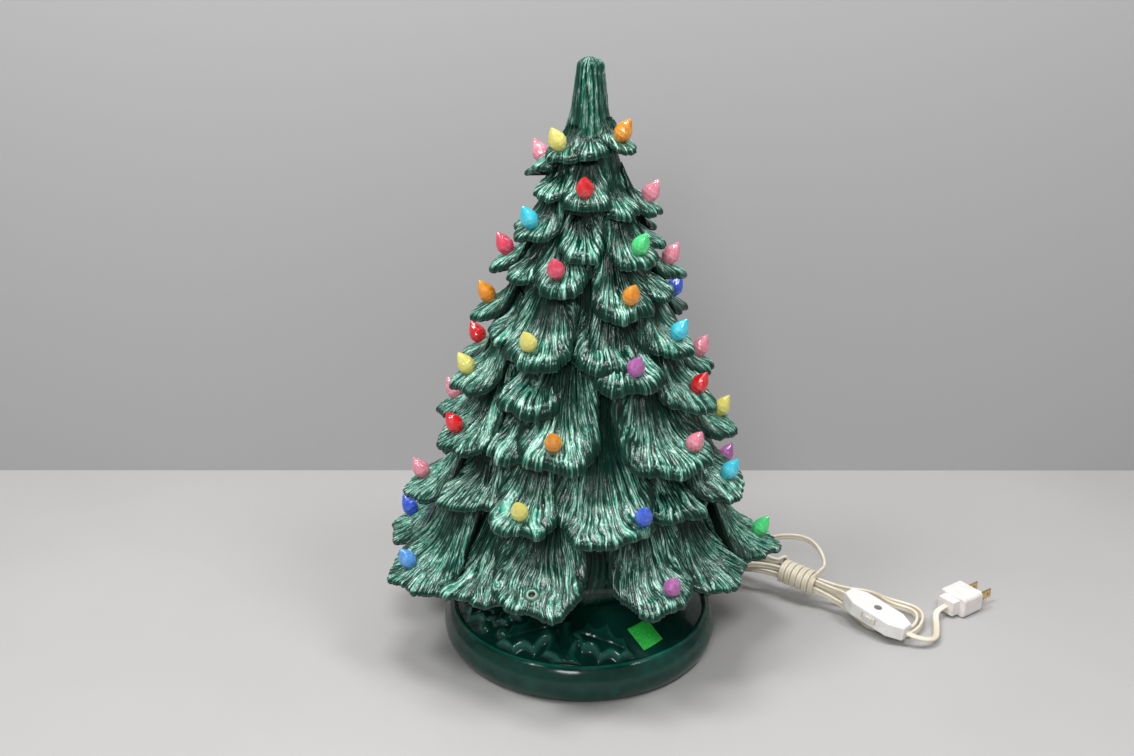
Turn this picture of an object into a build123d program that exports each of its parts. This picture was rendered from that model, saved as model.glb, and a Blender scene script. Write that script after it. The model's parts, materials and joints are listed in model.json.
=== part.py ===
"""Ceramic Christmas tree lamp: a hollow glazed tree that lifts off its lamp base.

Millimetres, Z up, front of the tree towards -Y, the base standing on z = 0 about the origin.
Azimuths are in degrees about Z, 0 at the front and 90 at +X.
"""

import os
from math import acos, cos, degrees, dist, radians, sin, tan

from build123d import *

os.makedirs("parts", exist_ok=True)

# Driving dimensions: base
BASE_RADIUS = 98.0
FOOT_RADIUS = 92.0
FOOT_WIDTH = 8.0
BULGE_HEIGHT = 14.0
RIDGE_RADIUS = 92.0
RIDGE_HEIGHT = 27.5
RIDGE_WIDTH = 2.5
RIDGE_STEP = 1.5
SEAT_HEIGHT = 50.0
COLLAR_RADIUS = 42.0
COLLAR_HEIGHT = 8.0
BASE_WALL = 6.0
NOTCH_AZIMUTH = 150.0
NOTCH_WIDTH = 7.0
NOTCH_HEIGHT = 6.5

# Driving dimensions: tree
TREE_HEIGHT = 370.0
CONE_RADIUS = 136.6
CONE_OVER_TREE = 15.6
CONE_HEIGHT = TREE_HEIGHT + CONE_OVER_TREE
CORE_SHARE = 0.74
TREE_WALL = 4.5
NECK_WALL = 6.5
NECK_CLEARANCE = 1.5
SKIRT_HEIGHT = 34.0
STUB_HEIGHT = 37.0
STUB_FOOT_RADIUS = 13.0
STUB_TOP_RADIUS = 9.0
STUB_ROUND = 4.0
STUB_SOLID_SHARE = 1.8

# Driving dimensions: one bough, at the radius of its light on the cone
BOUGH_WIDTH = 8.0
BOUGH_WIDTH_SHARE = 0.56
LIP_REACH = 10.0
LIP_REACH_SHARE = 0.05
LIP_DROP = 8.0
LIP_DROP_SHARE = 0.10
SHOULDER = 10.0
ROOT_MIN = 3.0
CROWN_SLOPE = 30.0
ROOT_SLOPE = 52.0
ROOT_SHARE = 0.45
ROOT_WIDTH_SHARE = 0.5
LIP_WIDTH_SHARE = 0.72
HOLLOW_WIDTH_SHARE = 0.9
HOLLOW_LIP_SHARE = 0.35
ROOT_DROP_SHARE = 1.2
SHOULDER_DROP_SHARE = 1.1
HOLLOW_DROP_SHARE = 1.05

# Driving dimensions: peg lights and their holes
LIGHT_HEIGHT = 16.2
LIGHT_RADIUS = 5.9
LIGHT_FLANGE_RADIUS = 3.9
LIGHT_FLANGE = 1.0
STEM_RADIUS = 2.2
STEM_LENGTH = 7.5
STEM_CLEARANCE = 0.2
SPOT_CLEARANCE = 0.6
SPOT_DEPTH = 0.6

# Driving dimensions: lamp socket and bulb
BARREL_RADIUS = 11.5
BARREL_HEIGHT = 29.0
BARREL_ABOVE_SEAT = 13.0
BARREL_CLEARANCE = 0.7
FLANGE_RADIUS = 15.5
FLANGE_HEIGHT = 4.0
SOCKET_FLOOR = 11.0
SLEEVE_WALL = 1.2
SLEEVE_CLEARANCE = 0.1
SLEEVE_LENGTH = 18.0
CLIP_RADIUS = 17.0
CLIP_THICK = 0.8
CLIP_EAR = 6.0
CLIP_EAR_WIDTH = 9.0
THREAD_RADIUS = 5.9
THREAD_DEPTH = 0.45
THREAD_PITCH = 2.5
THREAD_TURNS = 5
THREAD_CLEARANCE = 0.3
SHELL_WALL = 0.4
CONTACT_RADIUS = 3.4
CONTACT_THICK = 0.8
BUTTON_RADIUS = 2.0
BUTTON_HEIGHT = 2.2
TIP_HEIGHT = 1.2
INSULATOR_HEIGHT = 3.0
GLASS_RADIUS = 11.0
GLASS_LENGTH = 41.0
GLASS_WALL = 0.9
GLASS_NECK = 4.5
GLASS_CLEARANCE = 0.1
MOUNT_RADIUS = 2.2
MOUNT_HEIGHT = 12.0
WIRE_RADIUS = 0.35
WIRE_LENGTH = 9.0

# Driving dimensions: cord, in-line switch and plug
CORD_DIAMETER = 3.2
CORD_LIFT = 0.7
CORD_GAP = 0.5
WRAP_GAP = 1.5
STRAND_STEP = 3.7
STRAND_RISE = 5.2
WRAP_TURNS = 6
WRAP_PITCH = 4.7
WRAP_START = 8.0
HANK_LOOPS = 3
HANK_FOLD = 8.0
HANK_STEP = 4.0
HANK_REACH_LEFT = 105.0
HANK_REACH_RIGHT = 89.0
HANK_WAIST = 24.0
HANK_MID = 50.0
HANK_LEAVE = 9.0
HANK_CREST = 26.0
HANK_ANGLE = -28.2
LEAD_RISE = 32.0
SWITCH_LENGTH = 54.0
SWITCH_WIDTH = 20.0
SWITCH_HALF = 6.0
SWITCH_END_WIDTH = 9.0
SWITCH_FLAT = 32.0
SWITCH_ROUND = 1.5
SWITCH_ALONG = 60.0
SWITCH_ASIDE = 12.0
SWITCH_CENTRE_HEIGHT = 14.6
SWITCH_TURN = -16.0
SWITCH_PITCH = 8.0
WHEEL_RADIUS = 11.5
WHEEL_THICK = 4.0
WHEEL_CLEARANCE = 0.4
WHEEL_NOTCHES = 24
WHEEL_NOTCH_RADIUS = 0.6
RIVET_RADIUS = 1.5
RIVET_CLEARANCE = 0.1
RIVET_HEAD_RADIUS = 2.7
RIVET_HEAD = 0.9
RIVET_SUNK = 0.3
STRIP_LENGTH = 8.0
STRIP_WIDTH = 4.0
STRIP_THICK = 1.0
STRIP_PLACE = 18.0
STRIP_CLEARANCE = 0.3
PLUG_COLLAR_LENGTH = 7.0
PLUG_COLLAR_WIDTH = 14.0
PLUG_COLLAR_HEIGHT = 11.0
PLUG_LENGTH = 20.0
PLUG_WIDTH = 24.0
PLUG_HEIGHT = 16.0
PLUG_ROUND = 3.0
PLUG_ANGLE = 38.0
BLADE_SPACING = 12.7
BLADE_WIDTH = 6.35
BLADE_THICK = 1.5
BLADE_LENGTH = 16.5
BLADE_ROOT = 8.0
BLADE_CLEARANCE = 0.1
BLADE_HOLE_RADIUS = 1.5
BLADE_HOLE_PLACE = 12.0

# Driving dimensions: holly relief and paper square
LEAF_LENGTH = 34.0
LEAF_WIDTH = 19.0
LEAF_PROUD = 2.4
LEAF_SUNK = 3.0
LEAF_MARGIN = 1.0
BERRY_RADIUS = 4.0
STICKER_SIDE = 18.5
STICKER_THICK = 0.2
STICKER_RADIUS = 76.0
STICKER_AZIMUTH = 37.0

# One row a bough: height of its light as a share of the tree, azimuth, node that its light belongs to.
BOUGH_SHARES = [
    (0.854, -47, "light_01_yellow"),
    (0.868, 58, "light_02_orange"),
    (0.850, 168, "back_lights_blue"),
    (0.811, -110, "back_lights_pink"),
    (0.784, -3, "light_03_red"),
    (0.749, 93, "light_04_pink"),
    (0.775, 172, "back_lights_green"),
    (0.720, -56, "light_05_aqua"),
    (0.685, 44, "light_06_green"),
    (0.700, 134, "back_lights_red"),
    (0.705, -146, "back_lights_orange"),
    (0.651, -21, "light_07_rose"),
    (0.643, -97, "light_08_rose"),
    (0.627, 100, "light_09_pink"),
    (0.640, 176, "back_lights_yellow"),
    (0.608, 29, "light_10_orange"),
    (0.554, -93, "light_11_orange"),
    (0.547, 116, "light_12_blue"),
    (0.585, 142, "back_lights_aqua"),
    (0.560, -150, "back_lights_pink"),
    (0.527, -31, "light_13_yellow"),
    (0.527, 61, "light_14_aqua"),
    (0.446, -112, "back_lights_red"),
    (0.505, 176, "back_lights_blue"),
    (0.492, 26, "light_15_purple"),
    (0.439, -76, "light_16_yellow"),
    (0.440, 103, "back_lights_pink"),
    (0.450, 140, "back_lights_orange"),
    (0.445, -156, "back_lights_green"),
    (0.426, 66, "light_17_red"),
    (0.335, -106, "back_lights_pink"),
    (0.335, 93, "light_18_yellow"),
    (0.373, -12, "light_19_orange"),
    (0.344, -66, "light_20_red"),
    (0.343, 51, "light_21_pink"),
    (0.375, 172, "back_lights_purple"),
    (0.345, 128, "back_lights_blue"),
    (0.340, -146, "back_lights_yellow"),
    (0.253, -22, "light_22_yellow"),
    (0.249, 22, "light_23_blue"),
    (0.257, 71, "light_24_aqua"),
    (0.192, -93, "light_25_pink"),
    (0.176, 116, "back_lights_purple"),
    (0.255, 156, "back_lights_red"),
    (0.250, -160, "back_lights_orange"),
    (0.215, -128, "back_lights_aqua"),
    (0.081, -67, "light_26_sky"),
    (0.129, -15, "empty"),
    (0.124, 29, "light_27_purple"),
    (0.081, 93, "light_28_green"),
    (0.125, 178, "back_lights_pink"),
    (0.085, 134, "back_lights_yellow"),
    (0.085, -138, "back_lights_green"),
    (0.075, -104, "back_lights_blue"),
]

# Holly on the mound, front spray, in plan: distance out as a share of the mound, azimuth, turn, size share.
LEAF_SHARES = [
    (0.62, -66, 12, 0.95),
    (0.55, -26, 28, 1.0),
    (0.66, -9, -64, 0.95),
    (0.60, 12, -24, 0.9),
    (0.30, -44, 62, 0.7),
]
BERRY_SHARES = [(0.80, -53), (0.60, -50), (0.72, -42)]
SPRAY_TURNS = (0, 180)
# Half a holly leaf's edge, spike and hollow by turns: along its length, across its width.
LEAF_EDGE_SHARES = [
    (-0.50, 0.0),
    (-0.42, 0.16),
    (-0.34, 0.42),
    (-0.20, 0.24),
    (-0.02, 0.50),
    (0.10, 0.24),
    (0.27, 0.36),
    (0.36, 0.12),
    (0.50, 0.0),
]

# The cord's lead, past the notch: floor plan as shares of the base radius, height as a share of its rise.
LEAD_SHARES = [
    (0.612, 1.061, 0.0),
    (0.816, 1.184, 0.0),
    (1.061, 1.143, 0.18),
    (1.286, 1.010, 0.52),
    (1.480, 0.925, 0.83),
    (1.640, 0.905, 0.97),
    (1.790, 0.840, 1.0),
    (1.870, 0.715, 0.90),
]
HANK_CENTRE_SHARES = (1.735, 0.459)
# Stations of the hank: height as a share of its crest, spread, stacking and tilt of its strands.
LEFT_END_SHARES = (0.10, 1.0, 0.0, 0.0)
LEFT_MID_SHARES = (0.90, 0.85, 0.8, 0.0)
LEFT_WAIST_SHARES = (0.90, 0.0, 1.0, 0.0)
RIGHT_WAIST_SHARES = (0.60, 0.0, 1.0, 0.0)
RIGHT_MID_SHARES = (0.38, 0.65, 0.7, 0.5)
RIGHT_END_SHARES = (0.16, 1.0, 0.0, 0.15)
# The tail, from the switch round the folds to the plug: shares of the base radius past the hank middle.
TAIL_SHARES = [
    (0.900, -0.585, 0.15),
    (0.945, -0.395, 0.10),
    (0.962, -0.235, 0.19),
]
PLUG_SHARES = (1.055, -0.150)
INSIDE_SHARES = [(0.28, 0.0, 0.22), (0.62, 0.06, 0.08)]

# Values that follow from the ones above
CORD_RADIUS = CORD_DIAMETER / 2
CORD_FLOOR = CORD_RADIUS + CORD_LIFT
HOLE_RADIUS = STEM_RADIUS + STEM_CLEARANCE
SPOT_RADIUS = LIGHT_FLANGE_RADIUS + SPOT_CLEARANCE
NECK_INNER = COLLAR_RADIUS + NECK_CLEARANCE
NECK_RADIUS = NECK_INNER + NECK_WALL
SOCKET_HOLE_RADIUS = BARREL_RADIUS + BARREL_CLEARANCE
MOUND_RADIUS = RIDGE_RADIUS - RIDGE_WIDTH
MOUND_HEIGHT = RIDGE_HEIGHT - RIDGE_STEP
SEAT_RADIUS = NECK_RADIUS + NECK_CLEARANCE
MOUND_SLOPE = (SEAT_HEIGHT - MOUND_HEIGHT) / (MOUND_RADIUS - SEAT_RADIUS)
PLATE_BOTTOM = SEAT_HEIGHT - BASE_WALL
BARREL_TOP = SEAT_HEIGHT + BARREL_ABOVE_SEAT
BARREL_BOTTOM = BARREL_TOP - BARREL_HEIGHT
FLOOR_TOP = BARREL_BOTTOM + SOCKET_FLOOR
BULB_BOTTOM = FLOOR_TOP + BUTTON_HEIGHT
SHELL_BOTTOM = BULB_BOTTOM + TIP_HEIGHT + INSULATOR_HEIGHT / 2
SHELL_TOP = SHELL_BOTTOM + THREAD_TURNS * THREAD_PITCH
SHELL_INNER = THREAD_RADIUS - THREAD_DEPTH - SHELL_WALL
CROWN = tan(radians(CROWN_SLOPE))
WRAP_HALF_WIDTH = STRAND_STEP + CORD_DIAMETER + WRAP_GAP
WRAP_HALF_HEIGHT = STRAND_RISE / 2 + CORD_DIAMETER + WRAP_GAP


def outward(azimuth):
    """Unit vector from the axis towards an azimuth."""
    return Vector(sin(radians(azimuth)), -cos(radians(azimuth)), 0)


def across(azimuth):
    """Unit vector square to outward(), to the right as seen from outside."""
    return Vector(cos(radians(azimuth)), sin(radians(azimuth)), 0)


def cone_radius(height):
    """Radius of the cone of lights at a height above the seat."""
    return CONE_RADIUS * (1 - height / CONE_HEIGHT)


def light_plane(share, azimuth):
    """Plane of a light's spot-face, its normal along the stem."""
    height = share * TREE_HEIGHT
    normal = outward(azimuth) * sin(radians(CROWN_SLOPE)) + Vector(0, 0, cos(radians(CROWN_SLOPE)))
    point = outward(azimuth) * cone_radius(height) + Vector(0, 0, SEAT_HEIGHT + height)
    return Plane(origin=point - normal * SPOT_DEPTH, x_dir=across(azimuth), z_dir=normal)


def bough(share, azimuth, inset):
    """A drooping bough lofted over three D-shaped sections, or the hollow inside it."""
    height = share * TREE_HEIGHT
    z = SEAT_HEIGHT + height
    seat = cone_radius(height)
    width = BOUGH_WIDTH + BOUGH_WIDTH_SHARE * seat
    reach = LIP_REACH + LIP_REACH_SHARE * seat
    drop = LIP_DROP + LIP_DROP_SHARE * seat
    sunk = inset / cos(radians(CROWN_SLOPE))
    shoulder = seat - SHOULDER
    root = min(ROOT_SHARE * seat, shoulder - ROOT_MIN)
    crest = z + SHOULDER * CROWN - sunk
    root_top = crest + (shoulder - root) * tan(radians(ROOT_SLOPE))
    root_width = max(ROOT_WIDTH_SHARE * width - 2 * inset, ROOT_MIN)
    sections = [
        (root, root_width, root_top, z - ROOT_DROP_SHARE * drop + inset),
        (shoulder, width - 2 * inset, crest, z - SHOULDER_DROP_SHARE * drop + inset),
    ]
    if inset:
        beyond = HOLLOW_LIP_SHARE * reach - inset
        hollow_width = HOLLOW_WIDTH_SHARE * width - 2 * inset
        bottom = z - HOLLOW_DROP_SHARE * drop + inset
        sections.append((seat + beyond, hollow_width, z - beyond * CROWN - sunk, bottom))
    else:
        sections.append((seat + reach, LIP_WIDTH_SHARE * width, z - reach * CROWN, z - drop))
    with BuildPart() as made:
        for out, wide, top, bottom in sections:
            station = Plane(outward(azimuth) * out, across(azimuth), outward(azimuth))
            with BuildSketch(station):
                with BuildLine():
                    Line((-wide / 2, bottom), (wide / 2, bottom))
                    ThreePointArc((wide / 2, bottom), (0, top), (-wide / 2, bottom))
                make_face()
        loft(ruled=True)
    return made.part


def revolved(*corners):
    """Solid of revolution about Z from (radius, height) corners."""
    with BuildPart() as made:
        with BuildSketch(Plane.XZ):
            with BuildLine():
                Polyline(*corners, close=True)
            make_face()
        revolve(axis=Axis.Z)
    return made.part


def corner_radii(points):
    """Bend radius at each inner point of a route: most of the shorter run beside it goes into the bend."""
    radii = []
    for before, here, after in zip(points, points[1:], points[2:]):
        back, ahead = Vector(*here) - Vector(*before), Vector(*after) - Vector(*here)
        turn = acos(max(-1, min(1, back.normalized().dot(ahead.normalized()))))
        radii.append(0.45 * min(back.length, ahead.length) / tan(turn / 2))
    return radii


def cord_tube(name, points):
    """Round tube along a route of straight runs joined by tangent arcs."""
    points = [tuple(point) for point in points]
    radii = corner_radii(points)
    with BuildPart() as made:
        with BuildLine():
            path = FilletPolyline(*points, radius=radii)
        with BuildSketch(Plane(origin=path @ 0, z_dir=path % 0)):
            Circle(CORD_RADIUS)
        sweep(path=path)
    print(name, "length", round(path.length, 1), "least bend radius", round(min(radii), 1))
    count = int(path.length / CORD_RADIUS)
    spots = [tuple(path @ (i / count)) for i in range(count + 1)]
    skip = int(4 * CORD_DIAMETER / CORD_RADIUS)
    pairs = [(a, b) for i, a in enumerate(spots) for b in spots[i + skip :]]
    if pairs:
        print(name, "least gap to itself", round(min(dist(a, b) for a, b in pairs) - CORD_DIAMETER, 2))
    made.part.label = name
    export_step(made.part, f"parts/{name}.step")


# Base: hollow round dish, its mound rising to the tree's seat and locating collar
with BuildPart() as base:
    with BuildSketch(Plane.XZ):
        with BuildLine():
            Line((FOOT_RADIUS - FOOT_WIDTH, 0), (FOOT_RADIUS, 0))
            ThreePointArc((FOOT_RADIUS, 0), (BASE_RADIUS, BULGE_HEIGHT), (RIDGE_RADIUS, RIDGE_HEIGHT))
            Polyline(
                (RIDGE_RADIUS, RIDGE_HEIGHT),
                (MOUND_RADIUS, RIDGE_HEIGHT),
                (MOUND_RADIUS, MOUND_HEIGHT),
                (SEAT_RADIUS, SEAT_HEIGHT),
                (COLLAR_RADIUS, SEAT_HEIGHT),
                (COLLAR_RADIUS, SEAT_HEIGHT + COLLAR_HEIGHT),
                (COLLAR_RADIUS - BASE_WALL, SEAT_HEIGHT + COLLAR_HEIGHT),
                (COLLAR_RADIUS - BASE_WALL, SEAT_HEIGHT),
                (SOCKET_HOLE_RADIUS, SEAT_HEIGHT),
                (SOCKET_HOLE_RADIUS, PLATE_BOTTOM),
                (SEAT_RADIUS - BASE_WALL / 3, PLATE_BOTTOM),
                (MOUND_RADIUS - BASE_WALL / 2, MOUND_HEIGHT - BASE_WALL),
                (BASE_RADIUS - BASE_WALL, BULGE_HEIGHT),
                (FOOT_RADIUS - FOOT_WIDTH, 0),
            )
        make_face()
    revolve(axis=Axis.Z)
    with BuildPart(mode=Mode.PRIVATE) as relief:
        with BuildSketch():
            for spray in SPRAY_TURNS:
                for out_share, azimuth, turn, size in LEAF_SHARES:
                    out = SEAT_RADIUS + out_share * (MOUND_RADIUS - SEAT_RADIUS)
                    edge = [(x * LEAF_LENGTH * size, y * LEAF_WIDTH * size) for x, y in LEAF_EDGE_SHARES]
                    far_edge = [(x, -y) for x, y in reversed(edge[1:-1])]
                    with Locations(Location(outward(azimuth + spray) * out, azimuth + spray + turn)):
                        Polygon(*edge, *far_edge, align=None)
        extrude(amount=SEAT_HEIGHT + COLLAR_HEIGHT)
        inner = SEAT_RADIUS + LEAF_MARGIN
        outer = MOUND_RADIUS - LEAF_MARGIN
        inner_level = SEAT_HEIGHT - LEAF_MARGIN * MOUND_SLOPE
        outer_level = MOUND_HEIGHT + LEAF_MARGIN * MOUND_SLOPE
        add(
            revolved(
                (inner, inner_level - LEAF_SUNK),
                (outer, outer_level - LEAF_SUNK),
                (outer, outer_level + LEAF_PROUD),
                (inner, inner_level + LEAF_PROUD),
            ),
            mode=Mode.INTERSECT,
        )
    add(relief.part)
    for spray in SPRAY_TURNS:
        for out_share, azimuth in BERRY_SHARES:
            out = SEAT_RADIUS + out_share * (MOUND_RADIUS - SEAT_RADIUS)
            level = SEAT_HEIGHT - (out - SEAT_RADIUS) * MOUND_SLOPE
            with Locations(outward(azimuth + spray) * out + Vector(0, 0, level + BERRY_RADIUS / 2)):
                Sphere(BERRY_RADIUS)
    notch_plane = Plane((0, 0, 0), outward(NOTCH_AZIMUTH), Vector(0, 0, 1))
    with BuildSketch(notch_plane):
        with Locations((BASE_RADIUS, 0)):
            Rectangle(3 * (FOOT_WIDTH + BASE_WALL), NOTCH_WIDTH)
    extrude(amount=NOTCH_HEIGHT, mode=Mode.SUBTRACT)
base.part.label = "base"
export_step(base.part, "parts/base.step")

# Paper square: lies on the mound's slope
with BuildPart() as sticker:
    mound_tilt = degrees(acos(1 / (1 + MOUND_SLOPE**2) ** 0.5))
    lift = STICKER_THICK * (1 + MOUND_SLOPE**2) ** 0.5
    with BuildSketch(Plane.XZ):
        with BuildLine():
            Polyline(
                (SEAT_RADIUS, SEAT_HEIGHT),
                (MOUND_RADIUS, MOUND_HEIGHT),
                (MOUND_RADIUS, MOUND_HEIGHT + lift),
                (SEAT_RADIUS, SEAT_HEIGHT + lift),
                close=True,
            )
        make_face()
    revolve(axis=Axis.Z)
    level = SEAT_HEIGHT - (STICKER_RADIUS - SEAT_RADIUS) * MOUND_SLOPE
    lean = outward(STICKER_AZIMUTH) * sin(radians(mound_tilt)) + Vector(0, 0, cos(radians(mound_tilt)))
    spot = outward(STICKER_AZIMUTH) * STICKER_RADIUS + Vector(0, 0, level)
    with BuildSketch(Plane(spot, across(STICKER_AZIMUTH), lean)):
        Rectangle(STICKER_SIDE, STICKER_SIDE, rotation=45 + STICKER_AZIMUTH / 4)
    extrude(amount=LEAF_SUNK, both=True, mode=Mode.INTERSECT)
sticker.part.label = "sticker"
export_step(sticker.part, "parts/sticker.step")

# Tree: hollow core with its neck and stub, the boughs, and a spot-faced hole on every bough
SKIRT_TOP = SEAT_HEIGHT + SKIRT_HEIGHT
TREE_TOP = SEAT_HEIGHT + TREE_HEIGHT
STUB_FOOT = TREE_TOP - STUB_HEIGHT
SKIRT_RADIUS = CORE_SHARE * cone_radius(SKIRT_HEIGHT)
STUB_HOLLOW = STUB_FOOT_RADIUS - TREE_WALL
core = revolved(
    (0, SEAT_HEIGHT),
    (NECK_RADIUS, SEAT_HEIGHT),
    (NECK_RADIUS, SKIRT_TOP),
    (SKIRT_RADIUS, SKIRT_TOP),
    (STUB_FOOT_RADIUS, STUB_FOOT),
    (STUB_TOP_RADIUS, TREE_TOP - STUB_ROUND),
    (STUB_TOP_RADIUS - STUB_ROUND, TREE_TOP),
    (0, TREE_TOP),
)
core_hollow = revolved(
    (0, SEAT_HEIGHT),
    (NECK_INNER, SEAT_HEIGHT),
    (NECK_INNER, SKIRT_TOP + TREE_WALL),
    (SKIRT_RADIUS - STUB_SOLID_SHARE * TREE_WALL, SKIRT_TOP + TREE_WALL),
    (STUB_HOLLOW, STUB_FOOT),
    (STUB_HOLLOW / 2, STUB_FOOT + STUB_HEIGHT / 3),
    (0, STUB_FOOT + STUB_HEIGHT / 3),
)
with BuildPart() as hollow:
    add(core_hollow)
    add([bough(share, azimuth, TREE_WALL) for share, azimuth, _ in BOUGH_SHARES], clean=False)
with BuildPart() as tree_shell:
    add(core)
    add([bough(share, azimuth, 0) for share, azimuth, _ in BOUGH_SHARES], clean=False)
    add(hollow.part, mode=Mode.SUBTRACT, clean=False)
    with BuildPart(mode=Mode.PRIVATE) as drills:
        with Locations(*[light_plane(share, azimuth) for share, azimuth, _ in BOUGH_SHARES]):
            Cylinder(SPOT_RADIUS, LIGHT_HEIGHT, align=(Align.CENTER, Align.CENTER, Align.MIN))
            Cylinder(HOLE_RADIUS, 2 * TREE_WALL, align=(Align.CENTER, Align.CENTER, Align.MAX))
    add(drills.part, mode=Mode.SUBTRACT, clean=False)
tree_shell.part.label = "tree_shell"
export_step(tree_shell.part, "parts/tree_shell.step")
print("tree solids", len(tree_shell.part.solids()), "volume", round(tree_shell.part.volume))

# Lights: teardrop pegs whose stems drop into the holes
with BuildPart() as peg:
    with BuildSketch(Plane.XZ):
        with BuildLine():
            Polyline(
                (0, LIGHT_HEIGHT),
                (0, -STEM_LENGTH),
                (STEM_RADIUS, -STEM_LENGTH),
                (STEM_RADIUS, 0),
                (LIGHT_FLANGE_RADIUS, 0),
                (LIGHT_FLANGE_RADIUS, LIGHT_FLANGE),
            )
            ThreePointArc(
                (LIGHT_FLANGE_RADIUS, LIGHT_FLANGE),
                (LIGHT_RADIUS, LIGHT_HEIGHT * 0.34),
                (LIGHT_RADIUS * 0.74, LIGHT_HEIGHT * 0.63),
            )
            ThreePointArc(
                (LIGHT_RADIUS * 0.74, LIGHT_HEIGHT * 0.63),
                (LIGHT_RADIUS * 0.40, LIGHT_HEIGHT * 0.85),
                (LIGHT_RADIUS * 0.10, LIGHT_HEIGHT),
            )
            Line((LIGHT_RADIUS * 0.10, LIGHT_HEIGHT), (0, LIGHT_HEIGHT))
        make_face()
    revolve(axis=Axis.Z)
for node in sorted({node for _, _, node in BOUGH_SHARES} - {"empty"}):
    places = [light_plane(share, azimuth) for share, azimuth, owner in BOUGH_SHARES if owner == node]
    with BuildPart() as light:
        with Locations(*places):
            add(peg.part)
    light.part.label = node
    export_step(light.part, f"parts/{node}.step")

# Lamp socket: moulded barrel under the plate, clip over it, threaded sleeve and centre contact inside
SLEEVE_RADIUS = THREAD_RADIUS + THREAD_CLEARANCE + SLEEVE_WALL
BORE_RADIUS = SLEEVE_RADIUS + SLEEVE_CLEARANCE
socket_body = revolved(
    (0, BARREL_BOTTOM),
    (BARREL_RADIUS, BARREL_BOTTOM),
    (BARREL_RADIUS, PLATE_BOTTOM - FLANGE_HEIGHT),
    (FLANGE_RADIUS, PLATE_BOTTOM - FLANGE_HEIGHT),
    (FLANGE_RADIUS, PLATE_BOTTOM),
    (BARREL_RADIUS, PLATE_BOTTOM),
    (BARREL_RADIUS, BARREL_TOP),
    (BORE_RADIUS, BARREL_TOP),
    (BORE_RADIUS, FLOOR_TOP),
    (0, FLOOR_TOP),
)
socket_body.label = "socket_body"
export_step(socket_body, "parts/socket_body.step")

with BuildPart() as socket_clip:
    with BuildSketch(Plane.XY.offset(SEAT_HEIGHT)):
        Circle(CLIP_RADIUS)
        Circle(BARREL_RADIUS + RIVET_CLEARANCE, mode=Mode.SUBTRACT)
    extrude(amount=CLIP_THICK)
    with BuildSketch(Plane.XY.offset(SEAT_HEIGHT)):
        with PolarLocations(CLIP_RADIUS - CLIP_THICK, 2):
            Rectangle(CLIP_THICK, CLIP_EAR_WIDTH)
    extrude(amount=CLIP_EAR)
socket_clip.part.label = "socket_clip"
export_step(socket_clip.part, "parts/socket_clip.step")

crests = []
for ring in range(THREAD_TURNS):
    crests.append((THREAD_RADIUS, SHELL_BOTTOM + (ring + 0.5) * THREAD_PITCH))
    crests.append((THREAD_RADIUS - THREAD_DEPTH, SHELL_BOTTOM + (ring + 1) * THREAD_PITCH))
thread = [(THREAD_RADIUS - THREAD_DEPTH, SHELL_BOTTOM)] + crests
sleeve_thread = [(radius + THREAD_CLEARANCE, height) for radius, height in reversed(thread)]
socket_sleeve = revolved(
    (SLEEVE_RADIUS, FLOOR_TOP),
    (SLEEVE_RADIUS, FLOOR_TOP + SLEEVE_LENGTH),
    (THREAD_RADIUS + THREAD_CLEARANCE, FLOOR_TOP + SLEEVE_LENGTH),
    *sleeve_thread,
    (THREAD_RADIUS, FLOOR_TOP),
)
socket_sleeve.label = "socket_sleeve"
export_step(socket_sleeve, "parts/socket_sleeve.step")

socket_contact = revolved(
    (0, FLOOR_TOP),
    (CONTACT_RADIUS, FLOOR_TOP),
    (CONTACT_RADIUS, FLOOR_TOP + CONTACT_THICK),
    (BUTTON_RADIUS, FLOOR_TOP + CONTACT_THICK),
    (BUTTON_RADIUS, BULB_BOTTOM),
    (0, BULB_BOTTOM),
)
socket_contact.label = "socket_contact"
export_step(socket_contact, "parts/socket_contact.step")

# Bulb: screw shell with its rolled thread, insulated tip, glass and filament mount
bulb_screw_shell = revolved(
    (SHELL_INNER, SHELL_BOTTOM),
    *thread,
    (SHELL_INNER, SHELL_TOP),
)
bulb_screw_shell.label = "bulb_screw_shell"
export_step(bulb_screw_shell, "parts/bulb_screw_shell.step")

bulb_tip = revolved(
    (0, BULB_BOTTOM),
    (BUTTON_RADIUS, BULB_BOTTOM),
    (BUTTON_RADIUS, BULB_BOTTOM + TIP_HEIGHT),
    (SHELL_INNER - GLASS_CLEARANCE, SHELL_BOTTOM),
    (SHELL_INNER - GLASS_CLEARANCE, SHELL_BOTTOM + INSULATOR_HEIGHT),
    (0, SHELL_BOTTOM + INSULATOR_HEIGHT),
)
bulb_tip.label = "bulb_tip"
export_step(bulb_tip, "parts/bulb_tip.step")

NECK_GLASS = SHELL_INNER - GLASS_CLEARANCE
GLASS_FOOT = SHELL_TOP - GLASS_NECK
GLASS_TOP = GLASS_FOOT + GLASS_LENGTH
with BuildPart() as bulb_glass:
    for thin in (0, GLASS_WALL):
        widest = (GLASS_RADIUS - thin, GLASS_FOOT + GLASS_LENGTH * 0.42)
        with BuildSketch(Plane.XZ):
            with BuildLine():
                Line((0, GLASS_FOOT), (NECK_GLASS - thin, GLASS_FOOT))
                Line((NECK_GLASS - thin, GLASS_FOOT), (NECK_GLASS - thin, SHELL_TOP))
                Spline(
                    (NECK_GLASS - thin, SHELL_TOP),
                    widest,
                    (GLASS_RADIUS * 0.55 - thin, GLASS_FOOT + GLASS_LENGTH * 0.83),
                    (0, GLASS_TOP - thin),
                    tangents=[(GLASS_RADIUS, GLASS_RADIUS), (-1, 0)],
                )
                Line((0, GLASS_TOP - thin), (0, GLASS_FOOT))
            make_face()
        revolve(axis=Axis.Z, mode=Mode.SUBTRACT if thin else Mode.ADD)
bulb_glass.part.label = "bulb_glass"
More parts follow.
